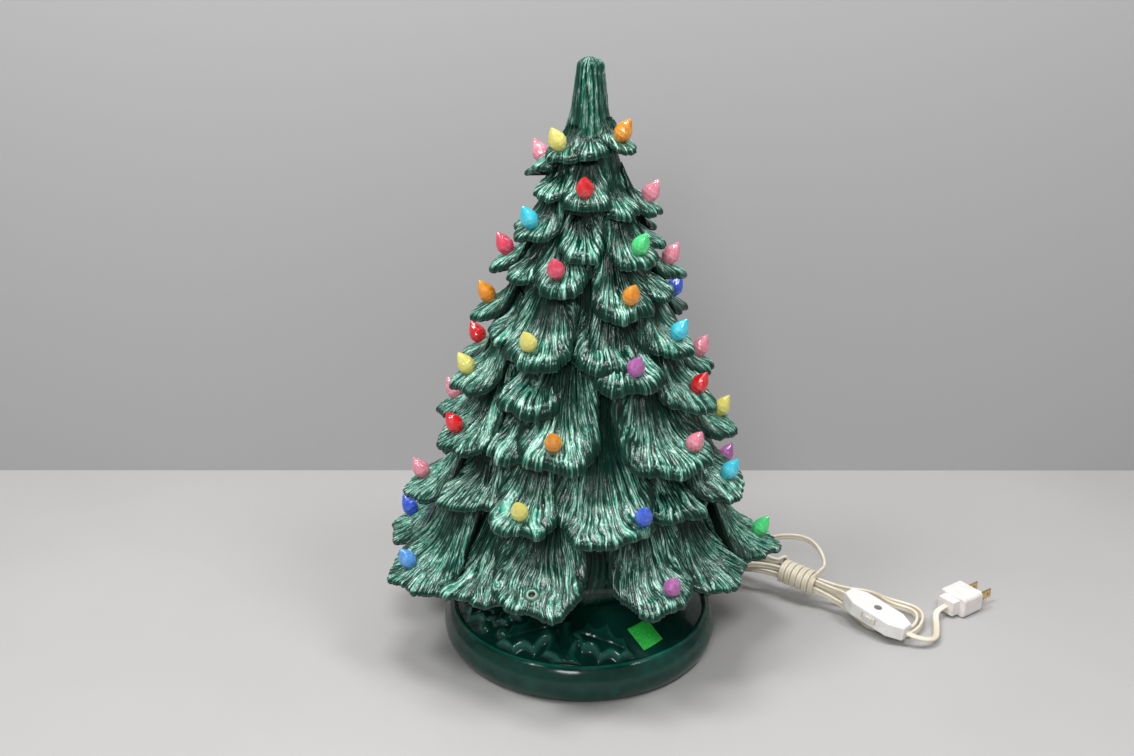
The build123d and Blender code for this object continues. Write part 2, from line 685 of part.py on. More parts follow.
export_step(bulb_glass.part, "parts/bulb_glass.step")

with BuildPart() as bulb_mount:
    with Locations((0, 0, GLASS_FOOT)):
        Cylinder(NECK_GLASS - 2 * GLASS_WALL, GLASS_WALL, align=(Align.CENTER, Align.CENTER, Align.MIN))
        Cone(MOUNT_RADIUS, MOUNT_RADIUS / 2, MOUNT_HEIGHT, align=(Align.CENTER, Align.CENTER, Align.MIN))
    for side in (-1, 1):
        with Locations((side * MOUNT_RADIUS / 3, 0, GLASS_FOOT + MOUNT_HEIGHT - 2 * WIRE_RADIUS)):
            Cylinder(WIRE_RADIUS, WIRE_LENGTH, align=(Align.CENTER, Align.CENTER, Align.MIN))
    with Locations((0, 0, GLASS_FOOT + MOUNT_HEIGHT + WIRE_LENGTH - 2 * WIRE_RADIUS)):
        Cylinder(WIRE_RADIUS, 3 * MOUNT_RADIUS, rotation=(0, 90, 0))
bulb_mount.part.label = "bulb_mount"
export_step(bulb_mount.part, "parts/bulb_mount.step")

# Cord: inside the base, the lead, the turns round the hank, the hank and the tail
exit_way = outward(NOTCH_AZIMUTH)
EXIT_RADIUS = BASE_RADIUS + CORD_DIAMETER / 2
cord_exit = exit_way * EXIT_RADIUS + Vector(0, 0, CORD_FLOOR)
inside = [Vector(0, 0, BARREL_BOTTOM), Vector(0, 0, BARREL_BOTTOM / 3)]
for out_share, aside_share, height_share in INSIDE_SHARES:
    away = exit_way * (out_share * BASE_RADIUS) + across(NOTCH_AZIMUTH) * (aside_share * BASE_RADIUS)
    inside.append(away + Vector(0, 0, CORD_FLOOR + height_share * BARREL_BOTTOM))
inside.append(exit_way * (FOOT_RADIUS - FOOT_WIDTH) + Vector(0, 0, CORD_FLOOR + CORD_LIFT / 4))
inside.append(cord_exit)
cord_tube("cord_inside", inside)

hank_u = Vector(cos(radians(HANK_ANGLE)), sin(radians(HANK_ANGLE)), 0)
hank_v = Vector(-sin(radians(HANK_ANGLE)), cos(radians(HANK_ANGLE)), 0)
hank_centre = Vector(HANK_CENTRE_SHARES[0] * BASE_RADIUS, HANK_CENTRE_SHARES[1] * BASE_RADIUS, 0)


def in_hank(u, v, z):
    """Point along the hank, across it and above the floor."""
    return hank_centre + hank_u * u + hank_v * v + Vector(0, 0, z)


def waist_height(u):
    """Height of the hank's middle line where the turns bind it."""
    share = (u + HANK_WAIST) / (2 * HANK_WAIST)
    return HANK_CREST * (LEFT_WAIST_SHARES[0] + share * (RIGHT_WAIST_SHARES[0] - LEFT_WAIST_SHARES[0]))


corners = [(-1, 1), (-1, -1), (1, -1), (1, 1)]
wrap = [in_hank(WRAP_START, WRAP_HALF_WIDTH / 2, waist_height(WRAP_START) + WRAP_HALF_HEIGHT)]
for step in range(4 * WRAP_TURNS):
    side, level = corners[step % 4]
    u = WRAP_START - (step + 1) * WRAP_PITCH / 4
    wrap.append(in_hank(u, side * WRAP_HALF_WIDTH, waist_height(u) + level * WRAP_HALF_HEIGHT))
WRAP_END = WRAP_START - (WRAP_TURNS + 0.25) * WRAP_PITCH
wrap.append(in_hank(WRAP_END, 0.1 * WRAP_HALF_WIDTH, waist_height(WRAP_END) + WRAP_HALF_HEIGHT))

lead = [cord_exit]
for x_share, y_share, height_share in LEAD_SHARES:
    lead.append(Vector(x_share * BASE_RADIUS, y_share * BASE_RADIUS, CORD_FLOOR + height_share * LEAD_RISE))
lead.append(wrap[0] + (wrap[0] - wrap[1]))
lead.append(wrap[0])
cord_tube("cord_lead", lead)
cord_tube("cord_wrap", wrap)

# Strands at the waist, in the order that the cord runs through them: across and up.
half_rise = STRAND_RISE / 2
strands = [
    (0, -half_rise),
    (STRAND_STEP / 2, half_rise),
    (-STRAND_STEP, -half_rise),
    (STRAND_STEP, -half_rise),
    (-STRAND_STEP / 2, half_rise),
]


def station(u, fold, strand, shares):
    """Point of a strand where the hank has opened out part of the way to its folds."""
    height, spread, stacked, tilt = shares
    v = strand[0] * (1 - spread) + fold * spread
    return in_hank(u, v, HANK_CREST * height + strand[1] * stacked + tilt * v)


first_level = waist_height(WRAP_END) + WRAP_HALF_HEIGHT
over_level = waist_height(-HANK_WAIST) + WRAP_HALF_HEIGHT + CORD_GAP
hank = [wrap[-1]]
hank.append(in_hank(WRAP_END - WRAP_PITCH / 4, -0.8 * WRAP_HALF_WIDTH, first_level))
hank.append(in_hank(-HANK_WAIST - HANK_LEAVE, -WRAP_HALF_WIDTH / 2, over_level))
left_fold = HANK_FOLD - HANK_STEP
hank.append(station(-HANK_MID, left_fold, (0, WRAP_HALF_HEIGHT), LEFT_MID_SHARES))
for loop in range(HANK_LOOPS):
    right_fold = HANK_FOLD + HANK_STEP * loop
    left_fold = right_fold - HANK_STEP
    fold = (left_fold + right_fold) / 2
    left_u = HANK_REACH_LEFT - HANK_STEP * (HANK_LOOPS - 1 - loop)
    out_run = strands[2 * loop]
    inner_u = 2 * fold - left_u
    for u, v in ((inner_u, left_fold), (-left_u, left_fold), (-left_u, -right_fold), (inner_u, -right_fold)):
        hank.append(station(u, v, out_run, LEFT_END_SHARES))
    hank.append(station(-HANK_MID, -right_fold, out_run, LEFT_MID_SHARES))
    hank.append(station(-HANK_WAIST, -right_fold, out_run, LEFT_WAIST_SHARES))
    hank.append(station(HANK_WAIST, -right_fold, out_run, RIGHT_WAIST_SHARES))
    if loop == HANK_LOOPS - 1:
        break
    back_run = strands[2 * loop + 1]
    right_u = HANK_REACH_RIGHT - HANK_STEP * (HANK_LOOPS - 2 - loop)
    hank.append(station(HANK_MID, -right_fold, out_run, RIGHT_MID_SHARES))
    inner_u = right_u - 2 * right_fold
    for u, v in ((inner_u, -right_fold), (right_u, -right_fold), (right_u, right_fold), (inner_u, right_fold)):
        hank.append(station(u, v, out_run, RIGHT_END_SHARES))
    hank.append(station(HANK_MID, right_fold, back_run, RIGHT_MID_SHARES))
    hank.append(station(HANK_WAIST, right_fold, back_run, RIGHT_WAIST_SHARES))
    hank.append(station(-HANK_WAIST, right_fold, back_run, LEFT_WAIST_SHARES))
    hank.append(station(-HANK_MID, right_fold, back_run, LEFT_MID_SHARES))

# Switch place: on the last strand, lying over the right folds
switch_yaw = radians(HANK_ANGLE + SWITCH_TURN)
switch_drop = radians(SWITCH_PITCH)
level_way = Vector(cos(switch_yaw), sin(switch_yaw), 0)
switch_way = level_way * cos(switch_drop) - Vector(0, 0, sin(switch_drop))
switch_up = level_way * sin(switch_drop) + Vector(0, 0, cos(switch_drop))
switch_centre = in_hank(SWITCH_ALONG, -SWITCH_ASIDE, SWITCH_CENTRE_HEIGHT)
switch_place = Plane(switch_centre, switch_way, switch_up)
switch_in = switch_centre - switch_way * (SWITCH_LENGTH / 2)
switch_out = switch_centre + switch_way * (SWITCH_LENGTH / 2)
hank.append(switch_in - switch_way * (1.5 * CORD_DIAMETER))
hank.append(switch_in)
cord_tube("cord_hank", hank)

plug_way = Vector(cos(radians(PLUG_ANGLE)), sin(radians(PLUG_ANGLE)), 0)
plug_spot = Vector(PLUG_SHARES[0], PLUG_SHARES[1], 0) * BASE_RADIUS
plug_point = hank_centre + plug_spot + Vector(0, 0, PLUG_HEIGHT / 2)
tail = [switch_out, switch_out + switch_way * (2.5 * CORD_DIAMETER)]
for x_share, y_share, height_share in TAIL_SHARES:
    spot = Vector(x_share, y_share, 0) * BASE_RADIUS
    tail.append(hank_centre + spot + Vector(0, 0, CORD_FLOOR + height_share * PLUG_HEIGHT))
tail.append(plug_point - plug_way * (2.5 * CORD_DIAMETER))
tail.append(plug_point)
cord_tube("cord_tail", tail)

# In-line switch: two halves pinned by a rivet, on which the thumb wheel turns between them
half_end = SWITCH_END_WIDTH / 2
outline = [
    (SWITCH_LENGTH / 2, -half_end),
    (SWITCH_LENGTH / 2, half_end),
    (SWITCH_FLAT / 2, SWITCH_WIDTH / 2),
    (-SWITCH_FLAT / 2, SWITCH_WIDTH / 2),
    (-SWITCH_LENGTH / 2, half_end),
    (-SWITCH_LENGTH / 2, -half_end),
    (-SWITCH_FLAT / 2, -SWITCH_WIDTH / 2),
    (SWITCH_FLAT / 2, -SWITCH_WIDTH / 2),
]
for side, name in ((1, "switch_upper_half"), (-1, "switch_lower_half")):
    with BuildPart() as half:
        with BuildSketch():
            with BuildLine():
                Polyline(*outline, close=True)
            make_face()
        extrude(amount=side * SWITCH_HALF)
        fillet(half.faces().sort_by(Axis.Z)[-1 if side > 0 else 0].edges(), SWITCH_ROUND)
        with BuildSketch():
            Circle(WHEEL_RADIUS + WHEEL_CLEARANCE)
        extrude(amount=side * (WHEEL_THICK / 2 + WHEEL_CLEARANCE), mode=Mode.SUBTRACT)
        with BuildSketch():
            Circle(RIVET_RADIUS + RIVET_CLEARANCE)
        extrude(amount=side * SWITCH_HALF, mode=Mode.SUBTRACT)
        with BuildSketch(Plane.XY.offset(side * SWITCH_HALF)):
            Circle(RIVET_HEAD_RADIUS + WHEEL_CLEARANCE)
        extrude(amount=-side * (RIVET_HEAD + RIVET_SUNK), mode=Mode.SUBTRACT)
        with BuildSketch():
            with Locations((-STRIP_PLACE, 0), (STRIP_PLACE, 0)):
                Rectangle(STRIP_LENGTH + STRIP_CLEARANCE, STRIP_WIDTH + STRIP_CLEARANCE)
        extrude(amount=side * STRIP_THICK / 2, mode=Mode.SUBTRACT)
    with BuildPart() as placed:
        with Locations(switch_place):
            add(half.part)
    placed.part.label = name
    export_step(placed.part, f"parts/{name}.step")

with BuildPart() as wheel:
    with BuildSketch(Plane.XY.offset(-WHEEL_THICK / 2)):
        Circle(WHEEL_RADIUS)
        Circle(RIVET_RADIUS + RIVET_CLEARANCE, mode=Mode.SUBTRACT)
        with PolarLocations(WHEEL_RADIUS, WHEEL_NOTCHES):
            Circle(WHEEL_NOTCH_RADIUS, mode=Mode.SUBTRACT)
    extrude(amount=WHEEL_THICK)
with BuildPart() as switch_wheel:
    with Locations(switch_place):
        add(wheel.part)
switch_wheel.part.label = "switch_wheel"
export_step(switch_wheel.part, "parts/switch_wheel.step")

RIVET_SEAT = SWITCH_HALF - RIVET_HEAD - RIVET_SUNK
with BuildPart() as rivet:
    Cylinder(RIVET_RADIUS, 2 * RIVET_SEAT)
    with Locations((0, 0, RIVET_SEAT + RIVET_HEAD / 2), (0, 0, -RIVET_SEAT - RIVET_HEAD / 2)):
        Cylinder(RIVET_HEAD_RADIUS, RIVET_HEAD)
with BuildPart() as switch_rivet:
    with Locations(switch_place):
        add(rivet.part)
switch_rivet.part.label = "switch_rivet"
export_step(switch_rivet.part, "parts/switch_rivet.step")

with BuildPart() as strips:
    with Locations((-STRIP_PLACE, 0, 0), (STRIP_PLACE, 0, 0)):
        Box(STRIP_LENGTH, STRIP_WIDTH, STRIP_THICK)
with BuildPart() as switch_contacts:
    with Locations(switch_place):
        add(strips.part)
switch_contacts.part.label = "switch_contacts"
export_step(switch_contacts.part, "parts/switch_contacts.step")

# Plug: strain-relief collar and body moulded in one, two blades set in its face
plug_place = Plane(plug_point, plug_way, Vector(0, 0, 1))
PLUG_FACE = PLUG_COLLAR_LENGTH + PLUG_LENGTH
with BuildPart() as moulded:
    with Locations((PLUG_COLLAR_LENGTH + PLUG_LENGTH / 2, 0, 0)):
        Box(PLUG_LENGTH, PLUG_WIDTH, PLUG_HEIGHT)
    fillet(moulded.edges().filter_by(Axis.X), PLUG_ROUND)
    fillet(moulded.faces().sort_by(Axis.X)[0].edges(), PLUG_ROUND / 2)
    with Locations((PLUG_COLLAR_LENGTH / 2 + PLUG_ROUND / 4, 0, 0)):
        Box(PLUG_COLLAR_LENGTH + PLUG_ROUND / 2, PLUG_COLLAR_WIDTH, PLUG_COLLAR_HEIGHT)
    for side in (-1, 1):
        with Locations((PLUG_FACE - BLADE_ROOT / 2, side * BLADE_SPACING / 2, 0)):
            Box(
                BLADE_ROOT,
                BLADE_THICK + 2 * BLADE_CLEARANCE,
                BLADE_WIDTH + 2 * BLADE_CLEARANCE,
                mode=Mode.SUBTRACT,
            )
with BuildPart() as plug_body:
    with Locations(plug_place):
        add(moulded.part)
plug_body.part.label = "plug_body"
export_step(plug_body.part, "parts/plug_body.step")

with BuildPart() as blades:
    for side in (-1, 1):
        with Locations((PLUG_FACE - BLADE_ROOT, side * BLADE_SPACING / 2, 0)):
            Box(
                BLADE_ROOT + BLADE_LENGTH,
                BLADE_THICK,
                BLADE_WIDTH,
                align=(Align.MIN, Align.CENTER, Align.CENTER),
            )
        with Locations((PLUG_FACE + BLADE_HOLE_PLACE, side * BLADE_SPACING / 2, 0)):
            Cylinder(BLADE_HOLE_RADIUS, 2 * BLADE_THICK, rotation=(90, 0, 0), mode=Mode.SUBTRACT)
    chamfer(blades.faces().sort_by(Axis.X)[-2:].edges().filter_by(Axis.Z), BLADE_THICK / 4)
with BuildPart() as plug_blades:
    with Locations(plug_place):
        add(blades.part)
plug_blades.part.label = "plug_blades"
export_step(plug_blades.part, "parts/plug_blades.step")
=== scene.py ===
"""Ceramic Christmas tree lamp: a glazed tree with peg lights on a round base, its cord bound in a hank."""

import json
from math import cos, pi, radians, sin, tan

import bpy
import numpy as np
from mathutils import Matrix, Vector

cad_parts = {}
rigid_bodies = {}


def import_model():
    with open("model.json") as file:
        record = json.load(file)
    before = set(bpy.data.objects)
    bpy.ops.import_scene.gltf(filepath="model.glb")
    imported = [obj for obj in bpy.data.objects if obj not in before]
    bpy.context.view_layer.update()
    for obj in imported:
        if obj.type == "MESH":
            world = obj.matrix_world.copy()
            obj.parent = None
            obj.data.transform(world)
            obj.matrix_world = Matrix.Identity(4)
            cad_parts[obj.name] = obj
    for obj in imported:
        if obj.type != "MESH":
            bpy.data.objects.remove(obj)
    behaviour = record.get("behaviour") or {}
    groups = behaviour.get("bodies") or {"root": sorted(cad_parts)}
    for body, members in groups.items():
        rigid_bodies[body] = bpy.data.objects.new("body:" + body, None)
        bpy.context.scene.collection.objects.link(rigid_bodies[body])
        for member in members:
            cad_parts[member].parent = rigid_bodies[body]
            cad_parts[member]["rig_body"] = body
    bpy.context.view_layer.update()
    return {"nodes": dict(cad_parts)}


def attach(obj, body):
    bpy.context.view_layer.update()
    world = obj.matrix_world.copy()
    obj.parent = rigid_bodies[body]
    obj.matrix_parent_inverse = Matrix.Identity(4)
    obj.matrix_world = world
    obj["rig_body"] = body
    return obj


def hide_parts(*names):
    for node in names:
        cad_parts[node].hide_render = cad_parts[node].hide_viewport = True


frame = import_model()
bpy.ops.object.select_all(action="DESELECT")


# Camera: a standard lens about a metre away, looking down on the tree from above its top.
# It is rolled by less than a degree, as a camera held by hand is.
CAMERA_SPOT = (0, -0.9913, 0.6214)
pitch, yaw, roll = radians(23.03), radians(-0.68), radians(0.87)
ahead = Vector((sin(yaw) * cos(pitch), cos(yaw) * cos(pitch), -sin(pitch)))
level_right = Vector((cos(yaw), -sin(yaw), 0))
level_up = level_right.cross(ahead)
right_hand = level_right * cos(roll) + level_up * sin(roll)
upward = level_up * cos(roll) - level_right * sin(roll)
turn = Matrix((right_hand, upward, -ahead)).transposed()
bpy.ops.object.camera_add(location=CAMERA_SPOT, rotation=turn.to_euler())
camera = bpy.context.object
camera.data.lens = 50
camera.data.sensor_width = 36
bpy.context.scene.camera = camera


# Cord: ivory two-core flat flex. It leaves the base by a notch at the back, climbs to the hank,
# winds six turns round the hank's waist, then runs to and fro in three loops to the switch.
FLEX_WIDTH = 4.6
FLEX_THICK = 2.3
FLEX_FLOOR = 2.3
BASE_RADIUS = 98.0
NOTCH_AZIMUTH = 150
NOTCH_MOUTH = 99.6
HANK_TURN = -28.2
WRAP_TURNS = 6
LOOPS = 3


def outward(azimuth):
    return Vector((sin(radians(azimuth)), -cos(radians(azimuth)), 0))


def across(azimuth):
    return Vector((cos(radians(azimuth)), sin(radians(azimuth)), 0))


notch_way = outward(NOTCH_AZIMUTH)
cord_exit = notch_way * NOTCH_MOUTH + Vector((0, 0, FLEX_FLOOR))
hank_angle = radians(HANK_TURN)
hank_along = Vector((cos(hank_angle), sin(hank_angle), 0))
hank_across = Vector((-sin(hank_angle), cos(hank_angle), 0))
hank_middle = Vector((1.735 * BASE_RADIUS, 0.459 * BASE_RADIUS, 0))
CREST = 26.0
WAIST = 24.0


def in_hank(u, v, z):
    return hank_middle + hank_along * u + hank_across * v + Vector((0, 0, z))


def waist_height(u):
    return CREST * (0.90 - 0.30 * (u + WAIST) / (2 * WAIST))


wrap_wide, wrap_high, wrap_pitch, wrap_start = 8.4, 7.3, 4.7, 8.0
wrap = [in_hank(wrap_start, wrap_wide / 2, waist_height(wrap_start) + wrap_high)]
for step in range(4 * WRAP_TURNS):
    side, level = [(-1, 1), (-1, -1), (1, -1), (1, 1)][step % 4]
    u = wrap_start - (step + 1) * wrap_pitch / 4
    wrap.append(in_hank(u, side * wrap_wide, waist_height(u) + level * wrap_high))
wrap_end = wrap_start - (WRAP_TURNS + 0.25) * wrap_pitch
wrap.append(in_hank(wrap_end, 0.1 * wrap_wide, waist_height(wrap_end) + wrap_high))

lead = [cord_exit]
LEAD_RISE = 32
for x, y, rise in [
    (0.612, 1.061, 0.0),
    (0.816, 1.184, 0.0),
    (1.061, 1.143, 0.18),
    (1.286, 1.010, 0.52),
    (1.480, 0.925, 0.83),
    (1.640, 0.905, 0.97),
    (1.790, 0.840, 1.0),
    (1.870, 0.715, 0.90),
]:
    lead.append(Vector((x * BASE_RADIUS, y * BASE_RADIUS, FLEX_FLOOR + LEAD_RISE * rise)))
lead.append(wrap[0] * 2 - wrap[1])


def station(u, fold, strand, shares):
    """A point of the hank: how far along, on which fold and strand, and its shares of rise and spread."""
    height, spread, stacked, tilt = shares
    v = strand[0] * (1 - spread) + fold * spread
    return in_hank(u, v, CREST * height + strand[1] * stacked + tilt * v)


left_end, left_mid, left_waist = (0.10, 1, 0, 0), (0.90, 0.85, 0.8, 0), (0.90, 0, 1, 0)
right_waist, right_mid, right_end = (0.60, 0, 1, 0), (0.38, 0.65, 0.7, 0.5), (0.16, 1, 0, 0.15)
right_far_mid = (0.42, 0.80, 0.7, 0.15)
strands = [(0, -2.6), (1.85, 2.6), (-3.7, -2.6), (3.7, -2.6), (-1.85, 2.6)]
LEFT_REACH, RIGHT_REACH, MIDWAY = 105, 89, 50
FIRST_FOLD, FOLD_STEP, FAR_SIDE = 8, 4, 11
hank = [
    in_hank(wrap_end - wrap_pitch / 3, -0.35 * wrap_wide, waist_height(wrap_end) + wrap_high),
    in_hank(-WAIST - 12, -0.25 * wrap_wide, waist_height(-WAIST) + wrap_high + 0.5),
    station(-MIDWAY, FOLD_STEP, (0, wrap_high), left_mid),
]
for loop in range(LOOPS):
    right_fold = FIRST_FOLD + FOLD_STEP * loop
    left_fold = right_fold - FOLD_STEP
    left_u = LEFT_REACH - FOLD_STEP * (LOOPS - 1 - loop)
    inner_u = left_fold + right_fold - left_u
    going = strands[2 * loop]
    for u, v in ((inner_u, left_fold), (-left_u, left_fold), (-left_u, -right_fold), (inner_u, -right_fold)):
        hank.append(station(u, v, going, left_end))
    hank.append(station(-MIDWAY, -right_fold, going, left_mid))
    hank.append(station(-WAIST, -right_fold, going, left_waist))
    hank.append(station(WAIST, -right_fold, going, right_waist))
    if loop == LOOPS - 1:
        break
    coming = strands[2 * loop + 1]
    right_u = RIGHT_REACH - FOLD_STEP * (LOOPS - 2 - loop)
    right_far = right_fold + FAR_SIDE
    inner_u = right_u - right_fold - right_far
    hank.append(station(MIDWAY, -right_fold, going, right_mid))
    for u, v in ((inner_u, -right_fold), (right_u, -right_fold), (right_u, right_far), (inner_u, right_far)):
        hank.append(station(u, v, going, right_end))
    hank.append(station(MIDWAY - 2, right_far, coming, right_far_mid))
    hank.append(station(WAIST, right_fold, coming, right_waist))
    hank.append(station(-WAIST, right_fold, coming, left_waist))
    hank.append(station(-MIDWAY, right_fold, coming, left_mid))

switch_yaw, switch_drop = radians(HANK_TURN - 16.0), radians(8.0)
switch_level = Vector((cos(switch_yaw), sin(switch_yaw), 0))
switch_way = switch_level * cos(switch_drop) - Vector((0, 0, sin(switch_drop)))
switch_middle = in_hank(60, -12, 14.6)
SWITCH_HALF = 27
switch_in = switch_middle - switch_way * SWITCH_HALF
switch_out = switch_middle + switch_way * SWITCH_HALF
hank += [switch_in - switch_way * 4.8, switch_in]


def flex_line(name, points):
    """Points along the smooth line that a route of control points gives, in metres."""
    curve = bpy.data.curves.new(name, "CURVE")
    curve.dimensions = "3D"
    spline = curve.splines.new("NURBS")
    spline.points.add(len(points) - 1)
    for point, place in zip(spline.points, points):
        point.co = (*(place * 0.001), 1)
    spline.order_u = 3
    spline.use_endpoint_u = True
    spline.resolution_u = 10
    guide = bpy.data.objects.new(name, curve)
    line = bpy.data.meshes.new_from_object(guide)
    path = np.array([v.co for v in line.vertices])
    bpy.data.objects.remove(guide)
    bpy.data.meshes.remove(line)
    bpy.data.curves.remove(curve)
    return path


def picked(*pieces):
    """Select these pieces alone, with the first of them active."""
    bpy.ops.object.select_all(action="DESELECT")
    for piece in pieces:
        piece.select_set(True)
    bpy.context.view_layer.objects.active = pieces[0]


def flex_tube(name, path, lie):
    """Flat twin flex along a path: two round cores side by side, webbed together.

    lie gives the way that its width faces at each point of the path."""
    along = np.gradient(path, axis=0)
    along /= np.linalg.norm(along, axis=1)[:, None]
    wide = np.zeros_like(path)
    held = lie[0]
    for i, way in enumerate(along):
        held = held - way * held.dot(way)
        held = held / np.linalg.norm(held)
        aim = lie[i] - way * lie[i].dot(way)
        size = np.linalg.norm(aim)
        if size > 0.3:
            aim = aim / size
            held = held + (aim if aim.dot(held) >= 0 else -aim) * 0.35
            held = held / np.linalg.norm(held)
        wide[i] = held
    thick = np.cross(along, wide)
    core = FLEX_THICK / 2
    outline = []
    for centre, start in ((FLEX_WIDTH / 2 - core, -125), (core - FLEX_WIDTH / 2, 55)):
        for k in range(11):
            angle = radians(start + 25 * k)
            outline.append((centre + core * cos(angle), core * sin(angle)))
    outline = np.array(outline) * 0.001
    rings = path[:, None, :] + outline[None, :, :1] * wide[:, None, :]
    rings = rings + outline[None, :, 1:] * thick[:, None, :]
    around = len(outline)
    last_ring = (len(path) - 1) * around
    faces = []
    for here in range(0, last_ring, around):
        there = here + around
        for k in range(around):
            n = (k + 1) % around
            faces.append((here + k, here + n, there + n, there + k))
    faces.append(tuple(range(around))[::-1])
    faces.append(tuple(last_ring + k for k in range(around)))
    mesh = bpy.data.meshes.new(name)
    mesh.from_pydata(rings.reshape(-1, 3).tolist(), [], faces)
    reach = np.concatenate([[0], np.cumsum(np.linalg.norm(np.diff(path, axis=0), axis=1))])
    layer = mesh.uv_layers.new(name="flex")
    spots = np.zeros(len(mesh.loops), int)
    mesh.loops.foreach_get("vertex_index", spots)
    map_spots = np.stack([reach[spots // around], spots % around / around], 1)
    layer.data.foreach_set("uv", map_spots.ravel())
    tube = bpy.data.objects.new(name, mesh)
    bpy.context.scene.collection.objects.link(tube)
    picked(tube)
    bpy.ops.object.mode_set(mode="EDIT")
    bpy.ops.mesh.select_all(action="SELECT")
    bpy.ops.mesh.normals_make_consistent(inside=False)
    bpy.ops.object.mode_set(mode="OBJECT")
    bpy.ops.object.shade_smooth_by_angle(angle=radians(50))
    return tube


def plain_finish(name, colour, roughness):
    """A new material with one shader, and the graph to hang its pattern on."""
    material = bpy.data.materials.new(name)
    material.use_nodes = True
    shader = material.node_tree.nodes["Principled BSDF"]
    shader.inputs["Base Color"].default_value = (*colour, 1)
    shader.inputs["Roughness"].default_value = roughness
    return material, material.node_tree, shader


def places(graph, kind="Object"):
    return graph.nodes.new("ShaderNodeTexCoord").outputs[kind]


def noise(graph, place, scale, detail=2):
    """Soft noise, 0 to 1, over the places given."""
    node = graph.nodes.new("ShaderNodeTexNoise")
    node.inputs["Scale"].default_value = scale
    node.inputs["Detail"].default_value = detail
    graph.links.new(place, node.inputs["Vector"])
    return node.outputs["Fac"]


def ramped(graph, value, given, wanted, smooth=False):
    """A value's given range carried over to the wanted one."""
    node = graph.nodes.new("ShaderNodeMapRange")
    if smooth:
        node.interpolation_type = "SMOOTHSTEP"
    for side, number in zip(("From Min", "From Max", "To Min", "To Max"), (*given, *wanted)):
        node.inputs[side].default_value = number
    graph.links.new(value, node.inputs["Value"])
    return node.outputs["Result"]


def tinted(graph, value, ramp):
    """The colours of a ramp, given as pairs of position and colour."""
    node = graph.nodes.new("ShaderNodeValToRGB")
    stops = node.color_ramp.elements
    stops.remove(stops[1])
    stops[0].position = ramp[0][0]
    stops[0].color = (*ramp[0][1], 1)
    for position, colour in ramp[1:]:
        stops.new(position).color = (*colour, 1)
    graph.links.new(value, node.inputs["Fac"])
    return node.outputs["Color"]


def dented(graph, shader, value, strength, distance):
    """Fine relief on a finish, from a height."""
    node = graph.nodes.new("ShaderNodeBump")
    node.inputs["Strength"].default_value = strength
    node.inputs["Distance"].default_value = distance
    graph.links.new(value, node.inputs["Height"])
    graph.links.new(node.outputs["Normal"], shader.inputs["Normal"])


def speckled(name, dark, pale, scale, roughness, metal=0.0, grain=0.15):
    """A finish that drifts between two tones, with a grain that also breaks up its shine."""
    material, graph, shader = plain_finish(name, pale, roughness)
    shader.inputs["Metallic"].default_value = metal
    place = places(graph)
    tint = tinted(graph, noise(graph, place, scale, 5), [(0.32, dark), (0.62, pale)])
    graph.links.new(tint, shader.inputs["Base Color"])
    fine = noise(graph, place, 900)
    shine = ramped(graph, fine, (0, 1), (roughness * 0.75, roughness * 1.25))
    graph.links.new(shine, shader.inputs["Roughness"])
    dented(graph, shader, fine, grain, 0.0002)
    return material


flex_finish = speckled("ivory_flex", (0.66, 0.58, 0.43), (0.82, 0.77, 0.64), 55, 0.38)
main_path = flex_line("cord_route", lead + wrap + hank)
upright = np.array([0.0, 0.0, 1.0])
way_along = np.array(hank_along)


def nearest(mark):
    """The step of the cord's path that lies closest to a point of its route."""
    return int(np.argmin(np.linalg.norm(main_path * 1000 - np.array(mark), axis=1)))


first_turn, last_turn, flat_until = nearest(wrap[1]), nearest(wrap[-2]), nearest(lead[3])
lie = np.tile(upright, (len(main_path), 1))
lie[first_turn - 4:last_turn + 1] = way_along
level = np.cross(np.gradient(main_path, axis=0), upright)
lie[:flat_until] = level[:flat_until] / np.linalg.norm(level[:flat_until], axis=1)[:, None]
cord = flex_tube("cord", main_path, lie)
cord.data.materials.append(flex_finish)
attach(cord, "base")
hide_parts("cord_lead", "cord_wrap", "cord_hank")

# Tail: the last hand's breadth of the same flex, from the switch to the plug that is moulded on its end.
# It curves round the hank's folds close to the table.
plug_angle = radians(38)
plug_way = Vector((cos(plug_angle), sin(plug_angle), 0))
plug_point = hank_middle + Vector((1.055 * BASE_RADIUS, -0.150 * BASE_RADIUS, 8))
tail = [switch_out, switch_out + switch_way * 8]
TAIL_RISE = 16
for x, y, rise in [(0.900, -0.585, 0.15), (0.945, -0.395, 0.10), (0.962, -0.235, 0.19)]:
    tail.append(hank_middle + Vector((x * BASE_RADIUS, y * BASE_RADIUS, FLEX_FLOOR + TAIL_RISE * rise)))
tail += [plug_point - plug_way * 8, plug_point]
tail_path = flex_line("tail_route", tail)
tail_lie = np.cross(np.gradient(tail_path, axis=0), upright)
tail_cord = flex_tube("cord_tail_flex", tail_path, tail_lie / np.linalg.norm(tail_lie, axis=1)[:, None])
tail_cord.data.materials.append(flex_finish)
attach(tail_cord, "base")
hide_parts("cord_tail")

